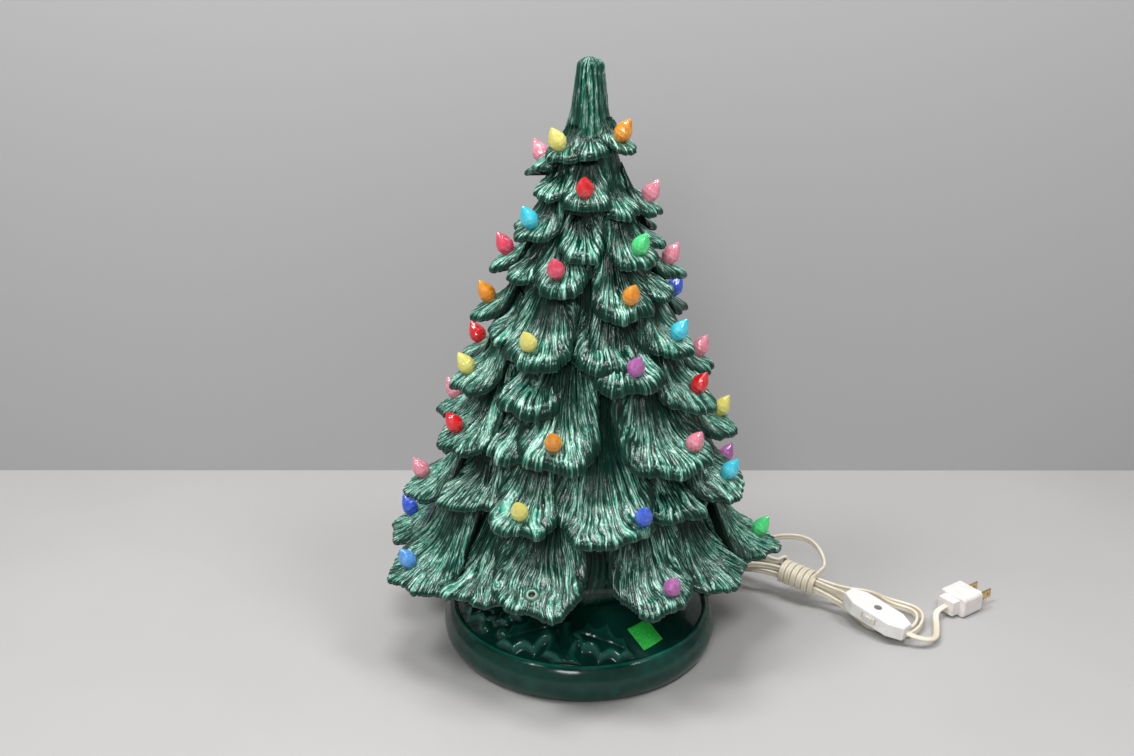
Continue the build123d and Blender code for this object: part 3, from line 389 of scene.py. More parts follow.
# Inside stretch: the same flex from the socket's foot, where it is wired in, to the notch in the base.
# It hangs out of sight under the mound and lies flat where it leaves.
SOCKET_FOOT, FIRST_BEND = 34, 11.3
inner = [Vector((0, 0, SOCKET_FOOT)), Vector((0, 0, FIRST_BEND))]
notch_side = across(NOTCH_AZIMUTH)
for away, aside, rise in [(0.28, 0.0, 0.22), (0.62, 0.06, 0.08)]:
    spot = (notch_way * away + notch_side * aside) * BASE_RADIUS
    inner.append(spot + Vector((0, 0, FLEX_FLOOR + SOCKET_FOOT * rise)))
inner += [notch_way * 84 + Vector((0, 0, 2.5)), cord_exit]
inner_path = flex_line("inside_route", inner)
inner_lie = np.tile(np.array(notch_side), (len(inner_path), 1))
inner_cord = flex_tube("cord_inside_flex", inner_path, inner_lie)
inner_cord.data.materials.append(flex_finish)
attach(inner_cord, "base")
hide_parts("cord_inside")


def dress(finish, *names):
    """Give carried-over nodes their finish."""
    for name in names:
        node = frame["nodes"][name]
        node.data.materials.clear()
        node.data.materials.append(finish)


# Switch: two moulded halves of white plastic held by one hollow rivet, with a thumb wheel between them
# that turns the brass contacts. The halves have yellowed a little and carry a fine moulded grain.
white_moulding = speckled("white_moulding", (0.74, 0.72, 0.68), (0.84, 0.83, 0.81), 140, 0.36, grain=0.3)
wheel_moulding = speckled("wheel_moulding", (0.64, 0.61, 0.55), (0.74, 0.72, 0.67), 220, 0.42, grain=0.35)
bright_steel = speckled("bright_steel", (0.42, 0.40, 0.37), (0.62, 0.60, 0.57), 400, 0.30, metal=1.0)
stamped_brass = speckled("stamped_brass", (0.52, 0.36, 0.14), (0.80, 0.60, 0.28), 320, 0.28, metal=1.0)
dress(white_moulding, "switch_upper_half", "switch_lower_half")
dress(wheel_moulding, "switch_wheel")
dress(bright_steel, "switch_rivet")
dress(stamped_brass, "switch_contacts")

# Plug: one moulding of soft white plastic round the flex, a little pinker than the switch,
# with two brass blades.
plug_moulding = speckled("plug_moulding", (0.73, 0.68, 0.66), (0.84, 0.80, 0.78), 120, 0.44, grain=0.35)
dress(plug_moulding, "plug_body")
dress(stamped_brass, "plug_blades")

# Lamp socket: a dark moulded barrel that a spring steel clip holds in the base's middle hole,
# with a rolled brass sleeve and a centre contact inside.
dark_moulding = speckled("dark_moulding", (0.012, 0.009, 0.008), (0.035, 0.027, 0.022), 260, 0.34, grain=0.25)
dress(dark_moulding, "socket_body")
dress(bright_steel, "socket_clip")
dress(stamped_brass, "socket_sleeve", "socket_contact")

# Bulb: a clear blown glass on a rolled brass screw shell, closed by black glass with a soldered tip;
# the filament's mount stands inside it.
clear_glass, graph, shader = plain_finish("clear_glass", (0.96, 0.97, 0.96), 0.02)
shader.inputs["IOR"].default_value = 1.47
shader.inputs["Transmission Weight"].default_value = 1.0
dented(graph, shader, noise(graph, places(graph), 180), 0.06, 0.0003)
dress(clear_glass, "bulb_glass")
dress(stamped_brass, "bulb_screw_shell")
dress(speckled("black_glass", (0.008, 0.008, 0.010), (0.05, 0.05, 0.055), 500, 0.12), "bulb_tip")
dress(speckled("glass_mount", (0.60, 0.62, 0.60), (0.80, 0.82, 0.80), 420, 0.18), "bulb_mount")


# Base: a round slip-cast dish under a green gloss glaze, hollow below, with holly leaves and berries
# in relief on its mound. The tree's neck sits round its collar, and the socket fills its middle hole.
SEAM_GAP = 0.00002
SEAT_LEVEL = 50
MOUND_INNER, MOUND_RUN, MOUND_DROP = 51.5, 38, 24


def grid_piece(name, points, values, spots):
    """A sheet of quads over rows of points in millimetres, with its relief value and pattern map."""
    rows, columns = points.shape[:2]
    bpy.ops.mesh.primitive_grid_add(x_subdivisions=columns - 1, y_subdivisions=rows - 1, size=1)
    sheet = bpy.context.object
    sheet.name = name
    mesh = sheet.data
    mesh.vertices.foreach_set("co", (points * 0.001).astype(np.float32).ravel())
    relief = mesh.attributes.new("relief", "FLOAT", "POINT")
    relief.data.foreach_set("value", values.astype(np.float32).ravel())
    corner = np.zeros(len(mesh.loops), int)
    mesh.loops.foreach_get("vertex_index", corner)
    mesh.uv_layers[0].data.foreach_set("uv", spots.reshape(-1, 2)[corner].astype(np.float32).ravel())
    return sheet


def weld(piece):
    """Close the seams of the selected sheets and turn their faces outwards."""
    picked(piece)
    bpy.ops.object.mode_set(mode="EDIT")
    bpy.ops.mesh.select_all(action="SELECT")
    bpy.ops.mesh.remove_doubles(threshold=SEAM_GAP)
    bpy.ops.mesh.normals_make_consistent(inside=False)
    bpy.ops.object.mode_set(mode="OBJECT")
    bpy.ops.object.shade_smooth()


def ease(x):
    x = np.clip(x, 0, 1)
    return x * x * (3 - 2 * x)


def cloud(x, y, seed):
    """Soft random field, 0 to 1, over a lattice of whole numbers."""
    lattice = np.random.default_rng(seed).random((64, 64))
    i, j = np.floor(x).astype(int), np.floor(y).astype(int)
    fx, fy = ease(x - i), ease(y - j)
    near = lattice[i % 64, j % 64] * (1 - fx) + lattice[(i + 1) % 64, j % 64] * fx
    far = lattice[i % 64, (j + 1) % 64] * (1 - fx) + lattice[(i + 1) % 64, (j + 1) % 64] * fx
    return near * (1 - fy) + far * fy


def along_corners(corners, step):
    """Evenly spaced points down a chain of corners."""
    out = []
    for (r0, z0), (r1, z1) in zip(corners, corners[1:]):
        count = max(1, round(((r1 - r0) ** 2 + (z1 - z0) ** 2) ** 0.5 / step))
        for k in range(count):
            out.append((r0 + (r1 - r0) * k / count, z0 + (z1 - z0) * k / count))
    out.append(corners[-1])
    return out


bulge_out, bulge_tall, bulge_middle = 6.0, 27.5, 13.8
circle_r = (bulge_out**2 + (bulge_tall / 2) ** 2) / (2 * bulge_out)
bulge = []
for k in range(25):
    z = bulge_tall * k / 24
    bulge.append((BASE_RADIUS - circle_r + (circle_r**2 - (z - bulge_middle) ** 2) ** 0.5, z))
bulge[0], bulge[-1] = (91.6, 0.4), (91.9, 27.1)
mound = along_corners([(89.3, 27.0), (88.6, 26.3), (51.8, 49.6), (51.0, 50.0)], 0.75)
rim = [(91.3, 27.6), (90.4, 27.8), (89.7, 27.5)]
collar = [(42.6, 50.0), (42.0, 50.6), (42.0, 57.4), (41.4, 58.0), (36.6, 58.0), (36.0, 57.4), (36.0, 50.0)]
crown = along_corners([(51.0, 50.0), *collar, (12.2, 50.0), (12.2, 44.0), (49.5, 44.0)], 4)
under = along_corners([(49.5, 44.0), (86.5, 20.0), (92.0, 14.0), (84.0, 0.0)], 6)
foot = [(84.0, 0.0), (84.6, 0.0), (88, 0.0), (91.0, 0.0)]
profile = np.array(foot + bulge + rim + mound + crown[1:] + under[1:])
first_mound = len(foot) + len(bulge) + len(rim)
mound_rows = np.arange(first_mound + 2, first_mound + len(mound) - 2)


def turned_grid(outline, columns):
    """Radius, height and turn of every point of an outline that goes round the axis."""
    theta = np.linspace(-pi, pi, columns + 1)
    radius = np.repeat(outline[:, :1], columns + 1, 1)
    height = np.repeat(outline[:, 1:], columns + 1, 1)
    return radius, height, np.repeat(theta[None, :], len(outline), 0)


def on_axis(radius, height, turned):
    """Points in millimetres from radius, height and turn."""
    return np.stack([radius * np.sin(turned), -radius * np.cos(turned), height], 2)


def run_down(outline):
    """Distance run along an outline, at each of its points."""
    return np.cumsum(np.r_[0, np.linalg.norm(np.diff(outline, axis=0), axis=1)])[:, None]


radius, height, turned = turned_grid(profile, 520)
flat_x, flat_y = radius * np.sin(turned), -radius * np.cos(turned)
relief = np.zeros_like(radius)
edges = np.zeros_like(radius)
LEAF_SPINES = np.array([0, 0.24, 0.52, 0.80, 1.0])
LEAVES = [
    (0.62, -66, 12, 0.95), (0.55, -26, 28, 1.0), (0.66, -9, -64, 0.95),
    (0.60, 12, -24, 0.9), (0.30, -44, 62, 0.7),
]
LEAF_LONG, LEAF_WIDE = 50, 33
BERRIES = [(0.80, -53), (0.60, -50), (0.72, -42)]
BERRY_RADIUS, BERRY_RISE = 4.2, 3.6
for spray in (0, 180):
    for share, azimuth, twist, size in LEAVES:
        middle = outward(azimuth + spray) * (MOUND_INNER + MOUND_RUN * share)
        angle = radians(azimuth + spray + twist)
        dx, dy = flat_x - middle.x, flat_y - middle.y
        long, wide = LEAF_LONG * size, LEAF_WIDE * size
        leaf_x = np.clip((dx * cos(angle) + dy * sin(angle)) / long + 0.5, 0, 1)
        leaf_y = (dy * cos(angle) - dx * sin(angle)) / wide
        between = np.clip(np.searchsorted(LEAF_SPINES, leaf_x, side="right") - 1, 0, 3)
        part = (leaf_x - LEAF_SPINES[between]) / np.diff(LEAF_SPINES)[between]
        half = 0.5 * np.sin(pi * leaf_x) ** 0.7 * (1 - 0.34 * np.sin(pi * part) ** 0.9)
        inside = np.where((leaf_x > 0) & (leaf_x < 1), half - np.abs(leaf_y), -1) * wide
        body = ease(inside / 7.0)
        vein = np.exp(-((leaf_y * wide / 0.9) ** 2)) * 1.2
        ribs = np.exp(-((((leaf_x * 5 - np.abs(leaf_y) * 2.4) % 1) - 0.5) / 0.2) ** 2) * 0.35
        lift = body * (5.2 - 2.0 * ease(inside / 11)) - (vein + ribs) * body * ease(inside / 3) * 0.5
        rising = lift > relief
        relief = np.where(rising, lift, relief)
        # Each leaf's rim gets a pale line and each berry a paler top: glaze breaking over the relief, and
        # painted highlight.
        rim_line = 0.6 * np.exp(-(((inside - 4.0) / 2.2) ** 2))
        edges = np.maximum(np.where(rising, rim_line, edges * (1 - body)), rim_line * (inside > 0))
    for share, azimuth in BERRIES:
        middle = outward(azimuth + spray) * (MOUND_INNER + MOUND_RUN * share)
        away = np.hypot(flat_x - middle.x, flat_y - middle.y)
        lift = np.sqrt(np.clip(1 - (away / BERRY_RADIUS) ** 2, 0, 1)) * BERRY_RISE
        edges = np.where(lift > relief, 0.35 * ease((BERRY_RADIUS - away) / 2), edges)
        relief = np.maximum(relief, lift)
on_mound = np.zeros(len(profile))
on_mound[mound_rows] = 1
fade = ease((88.2 - radius) / 1.2) * ease((radius - 52.2) / 1.2)
relief = relief * on_mound[:, None] * fade
edges = edges * on_mound[:, None] * fade
waver = (cloud(turned * 14 + 60, height / 9 + 8, 5) - 0.5) * 0.5
wavy = np.zeros(len(profile))
wavy[len(foot):first_mound + len(mound)] = 1
MOUND_LEAN, MOUND_UP = 0.53, 0.845
radius = radius + relief * MOUND_LEAN + waver * wavy[:, None] * 0.5
height = height + relief * MOUND_UP
notch_tall, notch_half = 6.5, 3.5
from_notch = np.abs((turned - radians(NOTCH_AZIMUTH) + pi) % (2 * pi) - pi) * 92
height = np.where((height < notch_tall) & (from_notch < notch_half), notch_tall, height)
# Colour value: paler along the rim's arris and round the leaves, partly glaze break and partly painted
# highlight; a little darker on the mound, as painted shade under the tree.
arris = np.exp(-(((profile[:, 0] - 91.2) / 1.3) ** 2) - ((profile[:, 1] - 27.4) / 1.2) ** 2)
drift = 0.12 * (cloud(turned * 9 + 40, height / 12, 9) - 0.5)
shade = np.clip(0.26 - 0.03 * on_mound[:, None] + 0.62 * edges + 0.40 * arris[:, None] + drift, 0, 1)
base_spots = np.stack([turned * 8, run_down(profile) / 10 + 0 * turned], 2)
base_points = on_axis(radius, height, turned)
closed_rows = [np.concatenate([rows, rows[:1]]) for rows in (base_points, shade, base_spots)]
base = grid_piece("base_dish", *closed_rows)
weld(base)


def worked_out(graph, operation, *terms, clamp=False):
    """The outcome of a sum on plain numbers or other outcomes."""
    node = graph.nodes.new("ShaderNodeMath")
    node.operation = operation
    node.use_clamp = clamp
    for socket, term in zip(node.inputs, terms):
        if isinstance(term, bpy.types.NodeSocket):
            graph.links.new(term, socket)
        else:
            socket.default_value = term
    return node.outputs[0]


def glaze(name, ramp, gloss, ripple, ripple_scale, glint_streaks=0.0):
    """Green gloss glaze from a relief value: deep where it pools in hollows and where shade is painted in,
    pale where it breaks over raised edges and where highlights are painted.
    """
    material, graph, shader = plain_finish(name, (0.01, 0.12, 0.08), gloss)
    shader.inputs["Specular IOR Level"].default_value = 0.36
    carved = graph.nodes.new("ShaderNodeAttribute")
    carved.attribute_name = "relief"
    relief = carved.outputs["Fac"]
    mottle = noise(graph, places(graph), 120, 5)
    spread = worked_out(graph, "MULTIPLY_ADD", mottle, 0.34, -0.17)
    depth = worked_out(graph, "ADD", relief, spread, clamp=True)
    tint = tinted(graph, depth, ramp)
    stretch = graph.nodes.new("ShaderNodeMapping")
    stretch.inputs["Scale"].default_value = ripple_scale
    graph.links.new(places(graph, "UV"), stretch.inputs["Vector"])
    ridges = noise(graph, stretch.outputs["Vector"], 1, 3)
    # Thin pale threads on the crests, in patches: glaze breaking, and painted glints.
    away = worked_out(graph, "ABSOLUTE", worked_out(graph, "SUBTRACT", ridges, 0.5))
    thread = ramped(graph, away, (0.012, 0.066), (1, 0), smooth=True)
    on_crest = ramped(graph, depth, (0.20, 0.66), (0, glint_streaks))
    patch = ramped(graph, mottle, (0.40, 0.60), (0.40, 1))
    glints_and_break = worked_out(graph, "MULTIPLY", worked_out(graph, "MULTIPLY", thread, patch), on_crest)
    paled_crests = graph.nodes.new("ShaderNodeMix")
    paled_crests.data_type = "RGBA"
    paled_crests.inputs["B"].default_value = (0.62, 0.82, 0.72, 1)
    graph.links.new(glints_and_break, paled_crests.inputs["Factor"])
    graph.links.new(tint, paled_crests.inputs["A"])
    graph.links.new(paled_crests.outputs["Result"], shader.inputs["Base Color"])
    shine = ramped(graph, mottle, (0, 1), (gloss * 0.7, gloss * 1.3))
    wiped = ramped(graph, relief, (-0.45, 0.0), (0.65, 0.0))
    graph.links.new(worked_out(graph, "MAXIMUM", shine, wiped), shader.inputs["Roughness"])
    dented(graph, shader, ridges, ripple, 0.0006)
    return material


POOLED_GREENS = [
    (0.0, (0.0012, 0.014, 0.010)), (0.30, (0.0035, 0.048, 0.034)),
    (0.60, (0.009, 0.120, 0.084)), (1.0, (0.07, 0.36, 0.27)),
]
base_glaze = glaze("base_glaze", POOLED_GREENS, 0.16, 0.10, (1.2, 1.2, 1))
base.data.materials.append(base_glaze)
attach(base, "base")
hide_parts("base")


# Paper square: a small blank label of bright green paper with a gummed back.
# It is stuck on the mound and a little lifted at one corner.
PAPER_SIDE = 18.5
PAPER_AZIMUTH = 37
steps = np.linspace(-PAPER_SIDE / 2, PAPER_SIDE / 2, 17)
paper_a, paper_b = np.meshgrid(steps, steps)
paper_turn = radians(45 - PAPER_AZIMUTH)
paper_x = paper_a * cos(paper_turn) - paper_b * sin(paper_turn)
paper_y = paper_a * sin(paper_turn) + paper_b * cos(paper_turn)
paper_r = 76 - paper_y * MOUND_RUN / (MOUND_DROP**2 + MOUND_RUN**2) ** 0.5
paper_turned = radians(PAPER_AZIMUTH) + paper_x / paper_r
mound_z = SEAT_LEVEL - (paper_r - MOUND_INNER) * MOUND_DROP / MOUND_RUN
paper_z = mound_z + 0.45 + 0.7 * ease((paper_a + paper_b - 10) / 9)
paper_spots = np.stack([paper_a, paper_b], 2) / 20 + 0.5
paper_points = on_axis(paper_r, paper_z, paper_turned)
label = grid_piece("label_square", paper_points, np.zeros_like(paper_a), paper_spots)
wall = label.modifiers.new("paper", "SOLIDIFY")
wall.thickness = 0.00018
wall.offset = 1
bpy.ops.object.modifier_apply(modifier="paper")
weld(label)
paper = speckled("green_paper", (0.012, 0.50, 0.045), (0.035, 0.70, 0.085), 700, 0.55, grain=0.4)
label.data.materials.append(paper)
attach(label, "base")
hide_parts("sticker")


# Tree: one hollow slip-cast shell. Its core is a fluted cone with a neck that sits on the base's collar;
# the boughs droop from it in rows, their needles combed into the clay before firing.
def wander(run, along, seed, loose=1.0):
    """Where a needle that starts at run has got to, in millimetres across, after running along."""
    slow = cloud(along / 26 + 9, run / 14 + 30, seed) - 0.5
    quick = cloud(along / 11 + 5, run / 5 + 30, seed + 1) - 0.5
    return run + loose * (9.0 * slow + 2.6 * quick)


def needles(pitch, run, along, seed):
    """Combed needle ridges, 0 in the grooves and up to 1 on the crests, forking as they run."""
    rng = np.random.default_rng(seed + 2)
    count = 512
    strength = 0.5 + 0.5 * rng.random(count)
    length = (7 + 9 * rng.random(count)) * pitch
    start = rng.random(count)

    def comb(line):
        index = np.floor(line).astype(int) % count
        swell = 0.74 + 0.26 * np.sin(2 * pi * (along / length[index] + start[index]))
        return np.sin(pi * (line % 1)) ** 1.1 * strength[index] * swell

    choice = ease((cloud(along / (11 * pitch), run / (3 * pitch) + 20, seed + 3) - 0.44) / 0.12)
    return comb(run / pitch + 100) * (1 - choice) + comb(0.63 * run / pitch + 107.3) * choice


def core_radius(z):
    return 101.1 - 0.2622 * (z - SEAT_LEVEL)


neck = along_corners([(43.5, 50), (50, 50), (50, 84), (91, 84)], 5)
cone = along_corners([(92.2, 85), (16.6, 368), (12.2, 385)], 3.0)
stub = along_corners([(12.2, 385), (9.6, 405), (8.4, 414)], 1.2)
tip = [(8.4 * cos(radians(k)), 414 + 6.0 * sin(radians(k))) for k in range(10, 90, 10)] + [(0.0, 420.0)]
lining = along_corners([(43.5, 50), (43.5, 88.5), (83.9, 88.5), (8.5, 383), (4.2, 395), (0.0, 395)], 8)
outer_shape = np.array(neck + cone + stub[1:] + tip)
radius, height, turned = turned_grid(outer_shape, 480)
travel = run_down(outer_shape) + 0 * turned
phase = 0.9 * np.sin(2 * turned + height / 16) + 0.6 * np.sin(5 * turned - height / 10)
flutes = np.abs(np.cos(7 * turned + phase)) ** 0.7 * (0.72 + 0.28 * np.cos(3 * turned + height / 21))
flutes = 0.8 * flutes + 0.2 * np.abs(np.cos(15 * turned - 1.3 * phase + height / 25))
fine = needles(4.6, wander(turned * 95, travel, 12), travel, 11)
up_stub = ease((height - 335) / 30)
crest = flutes * up_stub + fine * (1 - up_stub)
on_cone = ease((height - 84.5) / 2) * ease((radius - 0.5) / 7)
radius = radius + (crest - 0.5) * on_cone * (1.9 * up_stub + 1.8 * (1 - up_stub))
# Colour value: the core below the stub keeps low values, painted shade between the boughs; the stub is a
# little paler, and the neck is left even.
core_shade = np.where(height > 84.2, crest * (0.32 + 0.12 * up_stub) + 0.06 * up_stub, 0.2)
core_spots = np.stack([turned * np.maximum(radius, 9), travel], 2)
core = grid_piece("tree_core", on_axis(radius, height, turned), core_shade, core_spots)
inner_radius, inner_height, inner_turned = turned_grid(np.array(lining), 480)
inner_points = on_axis(inner_radius, inner_height, inner_turned)
inner_spots = np.stack([inner_turned * 40, inner_height], 2)
inside = grid_piece("tree_lining", inner_points, 0 * inner_turned + 0.2, inner_spots)
picked(core, inside)
bpy.ops.object.join()
weld(core)

NEEDLE_GREENS = [
    (0.0, (0.0008, 0.014, 0.009)), (0.30, (0.003, 0.052, 0.033)), (0.50, (0.010, 0.165, 0.104)),
    (0.75, (0.045, 0.30, 0.21)), (1.0, (0.17, 0.48, 0.36)),
]
tree_glaze = glaze("needle_glaze", NEEDLE_GREENS, 0.11, 0.9, (0.72, 0.10, 1), 0.95)
core.data.materials.append(tree_glaze)
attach(core, "tree")
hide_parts("tree_shell")

# Boughs: lobes of the same casting, each with a hole for a light, combed and glazed with the core.
# Each is given by the height of its light as a share of the tree, its azimuth, and the light that it carries.
BOUGHS = [
    (0.854, -47, "light_01_yellow"), (0.868, 58, "light_02_orange"), (0.850, 168, "back_lights_blue"),
    (0.811, -110, "back_lights_pink"), (0.784, -3, "light_03_red"), (0.749, 93, "light_04_pink"),
    (0.775, 172, "back_lights_green"), (0.720, -56, "light_05_aqua"), (0.685, 44, "light_06_green"),
    (0.700, 134, "back_lights_red"), (0.705, -146, "back_lights_orange"), (0.651, -21, "light_07_rose"),
    (0.643, -97, "light_08_rose"), (0.627, 100, "light_09_pink"), (0.640, 176, "back_lights_yellow"),
    (0.608, 29, "light_10_orange"), (0.554, -93, "light_11_orange"), (0.547, 116, "light_12_blue"),
    (0.585, 142, "back_lights_aqua"), (0.560, -150, "back_lights_pink"), (0.527, -31, "light_13_yellow"),
    (0.527, 61, "light_14_aqua"), (0.446, -112, "back_lights_red"), (0.505, 176, "back_lights_blue"),
    (0.492, 26, "light_15_purple"), (0.439, -76, "light_16_yellow"), (0.440, 103, "back_lights_pink"),
    (0.450, 140, "back_lights_orange"), (0.445, -156, "back_lights_green"), (0.426, 66, "light_17_red"),
    (0.335, -106, "back_lights_pink"), (0.335, 93, "light_18_yellow"), (0.373, -12, "light_19_orange"),
    (0.344, -66, "light_20_red"), (0.343, 51, "light_21_pink"), (0.375, 172, "back_lights_purple"),
    (0.345, 128, "back_lights_blue"), (0.340, -146, "back_lights_yellow"), (0.253, -22, "light_22_yellow"),
    (0.249, 22, "light_23_blue"), (0.257, 71, "light_24_aqua"), (0.192, -93, "light_25_pink"),
    (0.176, 116, "back_lights_purple"), (0.255, 156, "back_lights_red"), (0.250, -160, "back_lights_orange"),
    (0.215, -128, "back_lights_aqua"), (0.081, -67, "light_26_sky"), (0.129, -15, "empty"),
    (0.124, 29, "light_27_purple"), (0.081, 93, "light_28_green"), (0.125, 178, "back_lights_pink"),
    (0.085, 134, "back_lights_yellow"), (0.085, -138, "back_lights_green"), (0.075, -104, "back_lights_blue"),
]
TREE_TALL, CONE_FOOT, CONE_TALL = 370, 136.6, 385.6
LIGHT_TILT = radians(30)
CROWN_SLOPE, ROOT_SLOPE = tan(LIGHT_TILT), tan(radians(66))
# Steps over the lip's thick edge: out and down in thicknesses, and a tone whose fall under the lip is painted
# shade.
LIP_STEPS = [(0.0, 0.8, 0.14), (-0.3, 1.7, 0.08), (-1.0, 2.5, 0.0), (-2.3, 3.1, -0.3), (-4.6, 3.5, -0.6)]


def bough_sheet(seat, z0, azimuth, seed, light_at, girth):
    """Rows of points over one bough: from its root in the core, fanning down the combed top to the lip,
    over the lip's thick edge and back below. Both ends of every row meet the root, so the sheet closes."""
    rng = np.random.default_rng(seed)
    sharp = ease((abs(azimuth) - 28) / 36)
    reach = 7 + 0.047 * seat + 3.2 * sharp
    half = (7 + 0.255 * seat) * girth
    root, wide_at, side_at = -0.44 * seat, -0.20 * seat, -0.34 * seat
    throat = 0.42 * half
    fold = (2.6 + 0.05 * seat) * (1 - 0.65 * ease((seat - 75) / 40)) * (1 - 0.5 * sharp)
    t = np.linspace(0, pi / 2, 80)
    tip_d = wide_at + (reach - wide_at) * np.sin(t) ** 0.92
    tip_y = half * np.cos(t) ** (0.92 + 0.38 * sharp)
    flank = np.concatenate([[[root, throat], [side_at, 0.80 * half]], np.stack([tip_d, tip_y], 1)])
    outline = np.concatenate([flank * (1, -1), flank[-2::-1]])
    arc = np.concatenate([[0], np.cumsum(np.linalg.norm(np.diff(outline, axis=0), axis=1))])
    needle_wide = 2.4 if abs(azimuth) < 100 else 3.0
    a = np.linspace(-1, 1, 4 * max(16, round(arc[-1] / needle_wide)) + 1)
    lip = np.stack([np.interp((a + 1) / 2 * arc[-1], arc, outline[:, k]) for k in (0, 1)], 1)
    way = np.gradient(lip, axis=0)
    edge_out = np.stack([way[:, 1], -way[:, 0]], 1)
    edge_out /= np.maximum(np.linalg.norm(edge_out, axis=1), 1e-9)[:, None]
    d_line = np.linspace(root, reach + 8, 500)
    steep = ease((-2 - 0.03 * seat - d_line) / (3 + 0.20 * seat))
    slope = CROWN_SLOPE + (ROOT_SLOPE - CROWN_SLOPE) * steep
    fall = np.concatenate([[0], np.cumsum((slope[1:] + slope[:-1]) / 2 * np.diff(d_line))])
    top_line = z0 + np.interp(0, d_line, fall) - fall
    long = np.hypot(reach - root, top_line[0] - np.interp(reach, d_line, top_line))
    rows = int(long / 2.9) + 3
    s = 1 - (1 - np.linspace(0, 1, rows)[:, None, None]) ** 1.6
    along = s[:, :, 0] * long + 0 * a
    grow = 0.8 + 0.2 * ease(seat / 90)
    run = wander(a[None, :] * arc[-1] / 2 + 0 * along, along, seed * 7 + 3, 0.4 + 0.6 * ease(seat / 90))
    fine = needles(2.2, run, along, seed * 7 + 1)
    clump = needles(5.0 + 0.02 * seat, run, along, seed * 7 + 5)
    waves = rng.uniform(0, 2 * pi, 3)
    swing = 0
    for beat, start_at, size in zip((5, 9, 15), waves, (1.0, 0.9, 0.7)):
        swing = swing + np.sin(a * beat * (0.6 + seat / 150) + start_at) * size
    from_side = 1 - np.abs(a)
    notches = (0.8 * (clump[-1] - 0.45) + 0.7 * (fine[-1] - 0.4)) * grow
    ragged = (swing * (0.8 + seat / 190) + notches) * ease(from_side / 0.2)
    lip = lip + edge_out * ragged[:, None]
    start = np.stack([root + 0 * a, a * throat], 1)
    bend = start + (lip - start) * (0.55, 0.22)

    plan = (1 - s) ** 2 * start + 2 * s * (1 - s) * bend + s**2 * lip
    d, side = plan[:, :, 0], plan[:, :, 1]
    to_lip = (1 - s[:, :, 0]) * np.linalg.norm(lip - start, axis=1)
    turn_down = fold - np.sqrt(np.maximum(fold**2 - np.maximum(fold - to_lip, 0) ** 2, 0))
    up = np.interp(d, d_line, top_line) - 0.22 * half * np.abs(side / half) ** 2.2 - turn_down
    top_sheet = np.stack([seat + d, side, up], 2)
    near_lip = ease(1 - to_lip / (14 + 0.1 * seat))
    level = 1 + 0 * side
    if light_at is not None:
        level = 1 - ease((6.8 - np.hypot(side - light_at, d / cos(LIGHT_TILT))) / 2.2)
    keep = level * ease(from_side / 0.04) * (0.65 + 0.35 * ease(to_lip / 9))
    rise = (fine - 0.5) * 1.1 * grow + (clump - 0.5) * 2.5 * grow * (0.85 - 0.25 * near_lip)
    rise = rise * keep - 0.45 * (1 - level)
    normal = np.cross(np.gradient(top_sheet, axis=1), np.gradient(top_sheet, axis=0))
    normal /= np.maximum(np.linalg.norm(normal, axis=2), 1e-9)[:, :, None]
    normal *= np.sign(np.median(normal[:, :, 2]))
    top_sheet = top_sheet + normal * rise[:, :, None]
    # Painted light and shade on the needles: paler on the crown towards the lip; painted shade near the root
    # under the bough above, towards the sides, and where the lip rounds under.
    crown_light_and_shade = 0.30 + 0.80 * ease((s[:, :, 0] - 0.30) / 0.40)
    crown_light_and_shade = crown_light_and_shade * (1 - 0.55 * ease((np.abs(side) / half - 0.5) / 0.5))
    crown_light_and_shade = crown_light_and_shade * (1 - 0.65 * ease((0.7 * fold - to_lip) / (0.7 * fold)))
    value = np.clip((0.62 * fine + 0.38 * clump - 0.12) / 0.6 * crown_light_and_shade, 0, 1) * level + 0.42 * (1 - level)

    thick = (0.45 + seat / 600) * ease(from_side / 0.06) * (0.85 + 0.3 * clump[-1])
    # The edge rows go a little paler at the top of the lip, where the glaze breaks, and darker as it turns
    # under, as painted shade; the underside rows sit below the darkest colour, painted shade that the glaze
    # also reads as rougher.
    edge, edge_value = [], []
    for out, down, tone in LIP_STEPS:
        row = top_sheet[-1].copy()
        row[:, :2] += edge_out * (thick * out)[:, None]
        row[:, 2] -= thick * down
        edge.append(row)
        edge_value.append(0.10 + tone * (0.5 + clump[-1]) + 0.10 * fine[-1])
    below, below_value = [], []
    for k in list(range(rows - 4, 0, -4)) + [0]:
        gap = (3.8 * thick + 0.85 * (top_sheet[k, :, 2] - top_sheet[-1, :, 2])) * ease(from_side / 0.04)
        row = top_sheet[k].copy()
        row[:, 2] -= np.maximum(gap, 0)
        below.append(row)
        below_value.append(0.15 * fine[k] - 0.6)
    sheet = np.concatenate([top_sheet, edge, below, top_sheet[:1]])
    values = np.concatenate([value, edge_value, below_value, value[:1]])
    points = sheet[:, :, :1] * np.array(outward(azimuth)) + sheet[:, :, 1:2] * np.array(across(azimuth))
    points[:, :, 2] = sheet[:, :, 2]
    from_axis = np.hypot(points[:, :, 0], points[:, :, 1])
    least = np.where(points[:, :, 2] > 84, core_radius(points[:, :, 2]) - 1.6, 56)
    points[:, :, :2] *= np.maximum(1, least / np.maximum(from_axis, 1e-6))[:, :, None]
    lengths = np.concatenate([along, along[-1:] + 2 * np.arange(1, len(sheet) - rows + 1)[:, None]])
    runs = np.concatenate([run, np.repeat(run[-1:], len(sheet) - rows, 0)])
    return points, values, np.stack([runs + seed * 31.7, lengths], 2)


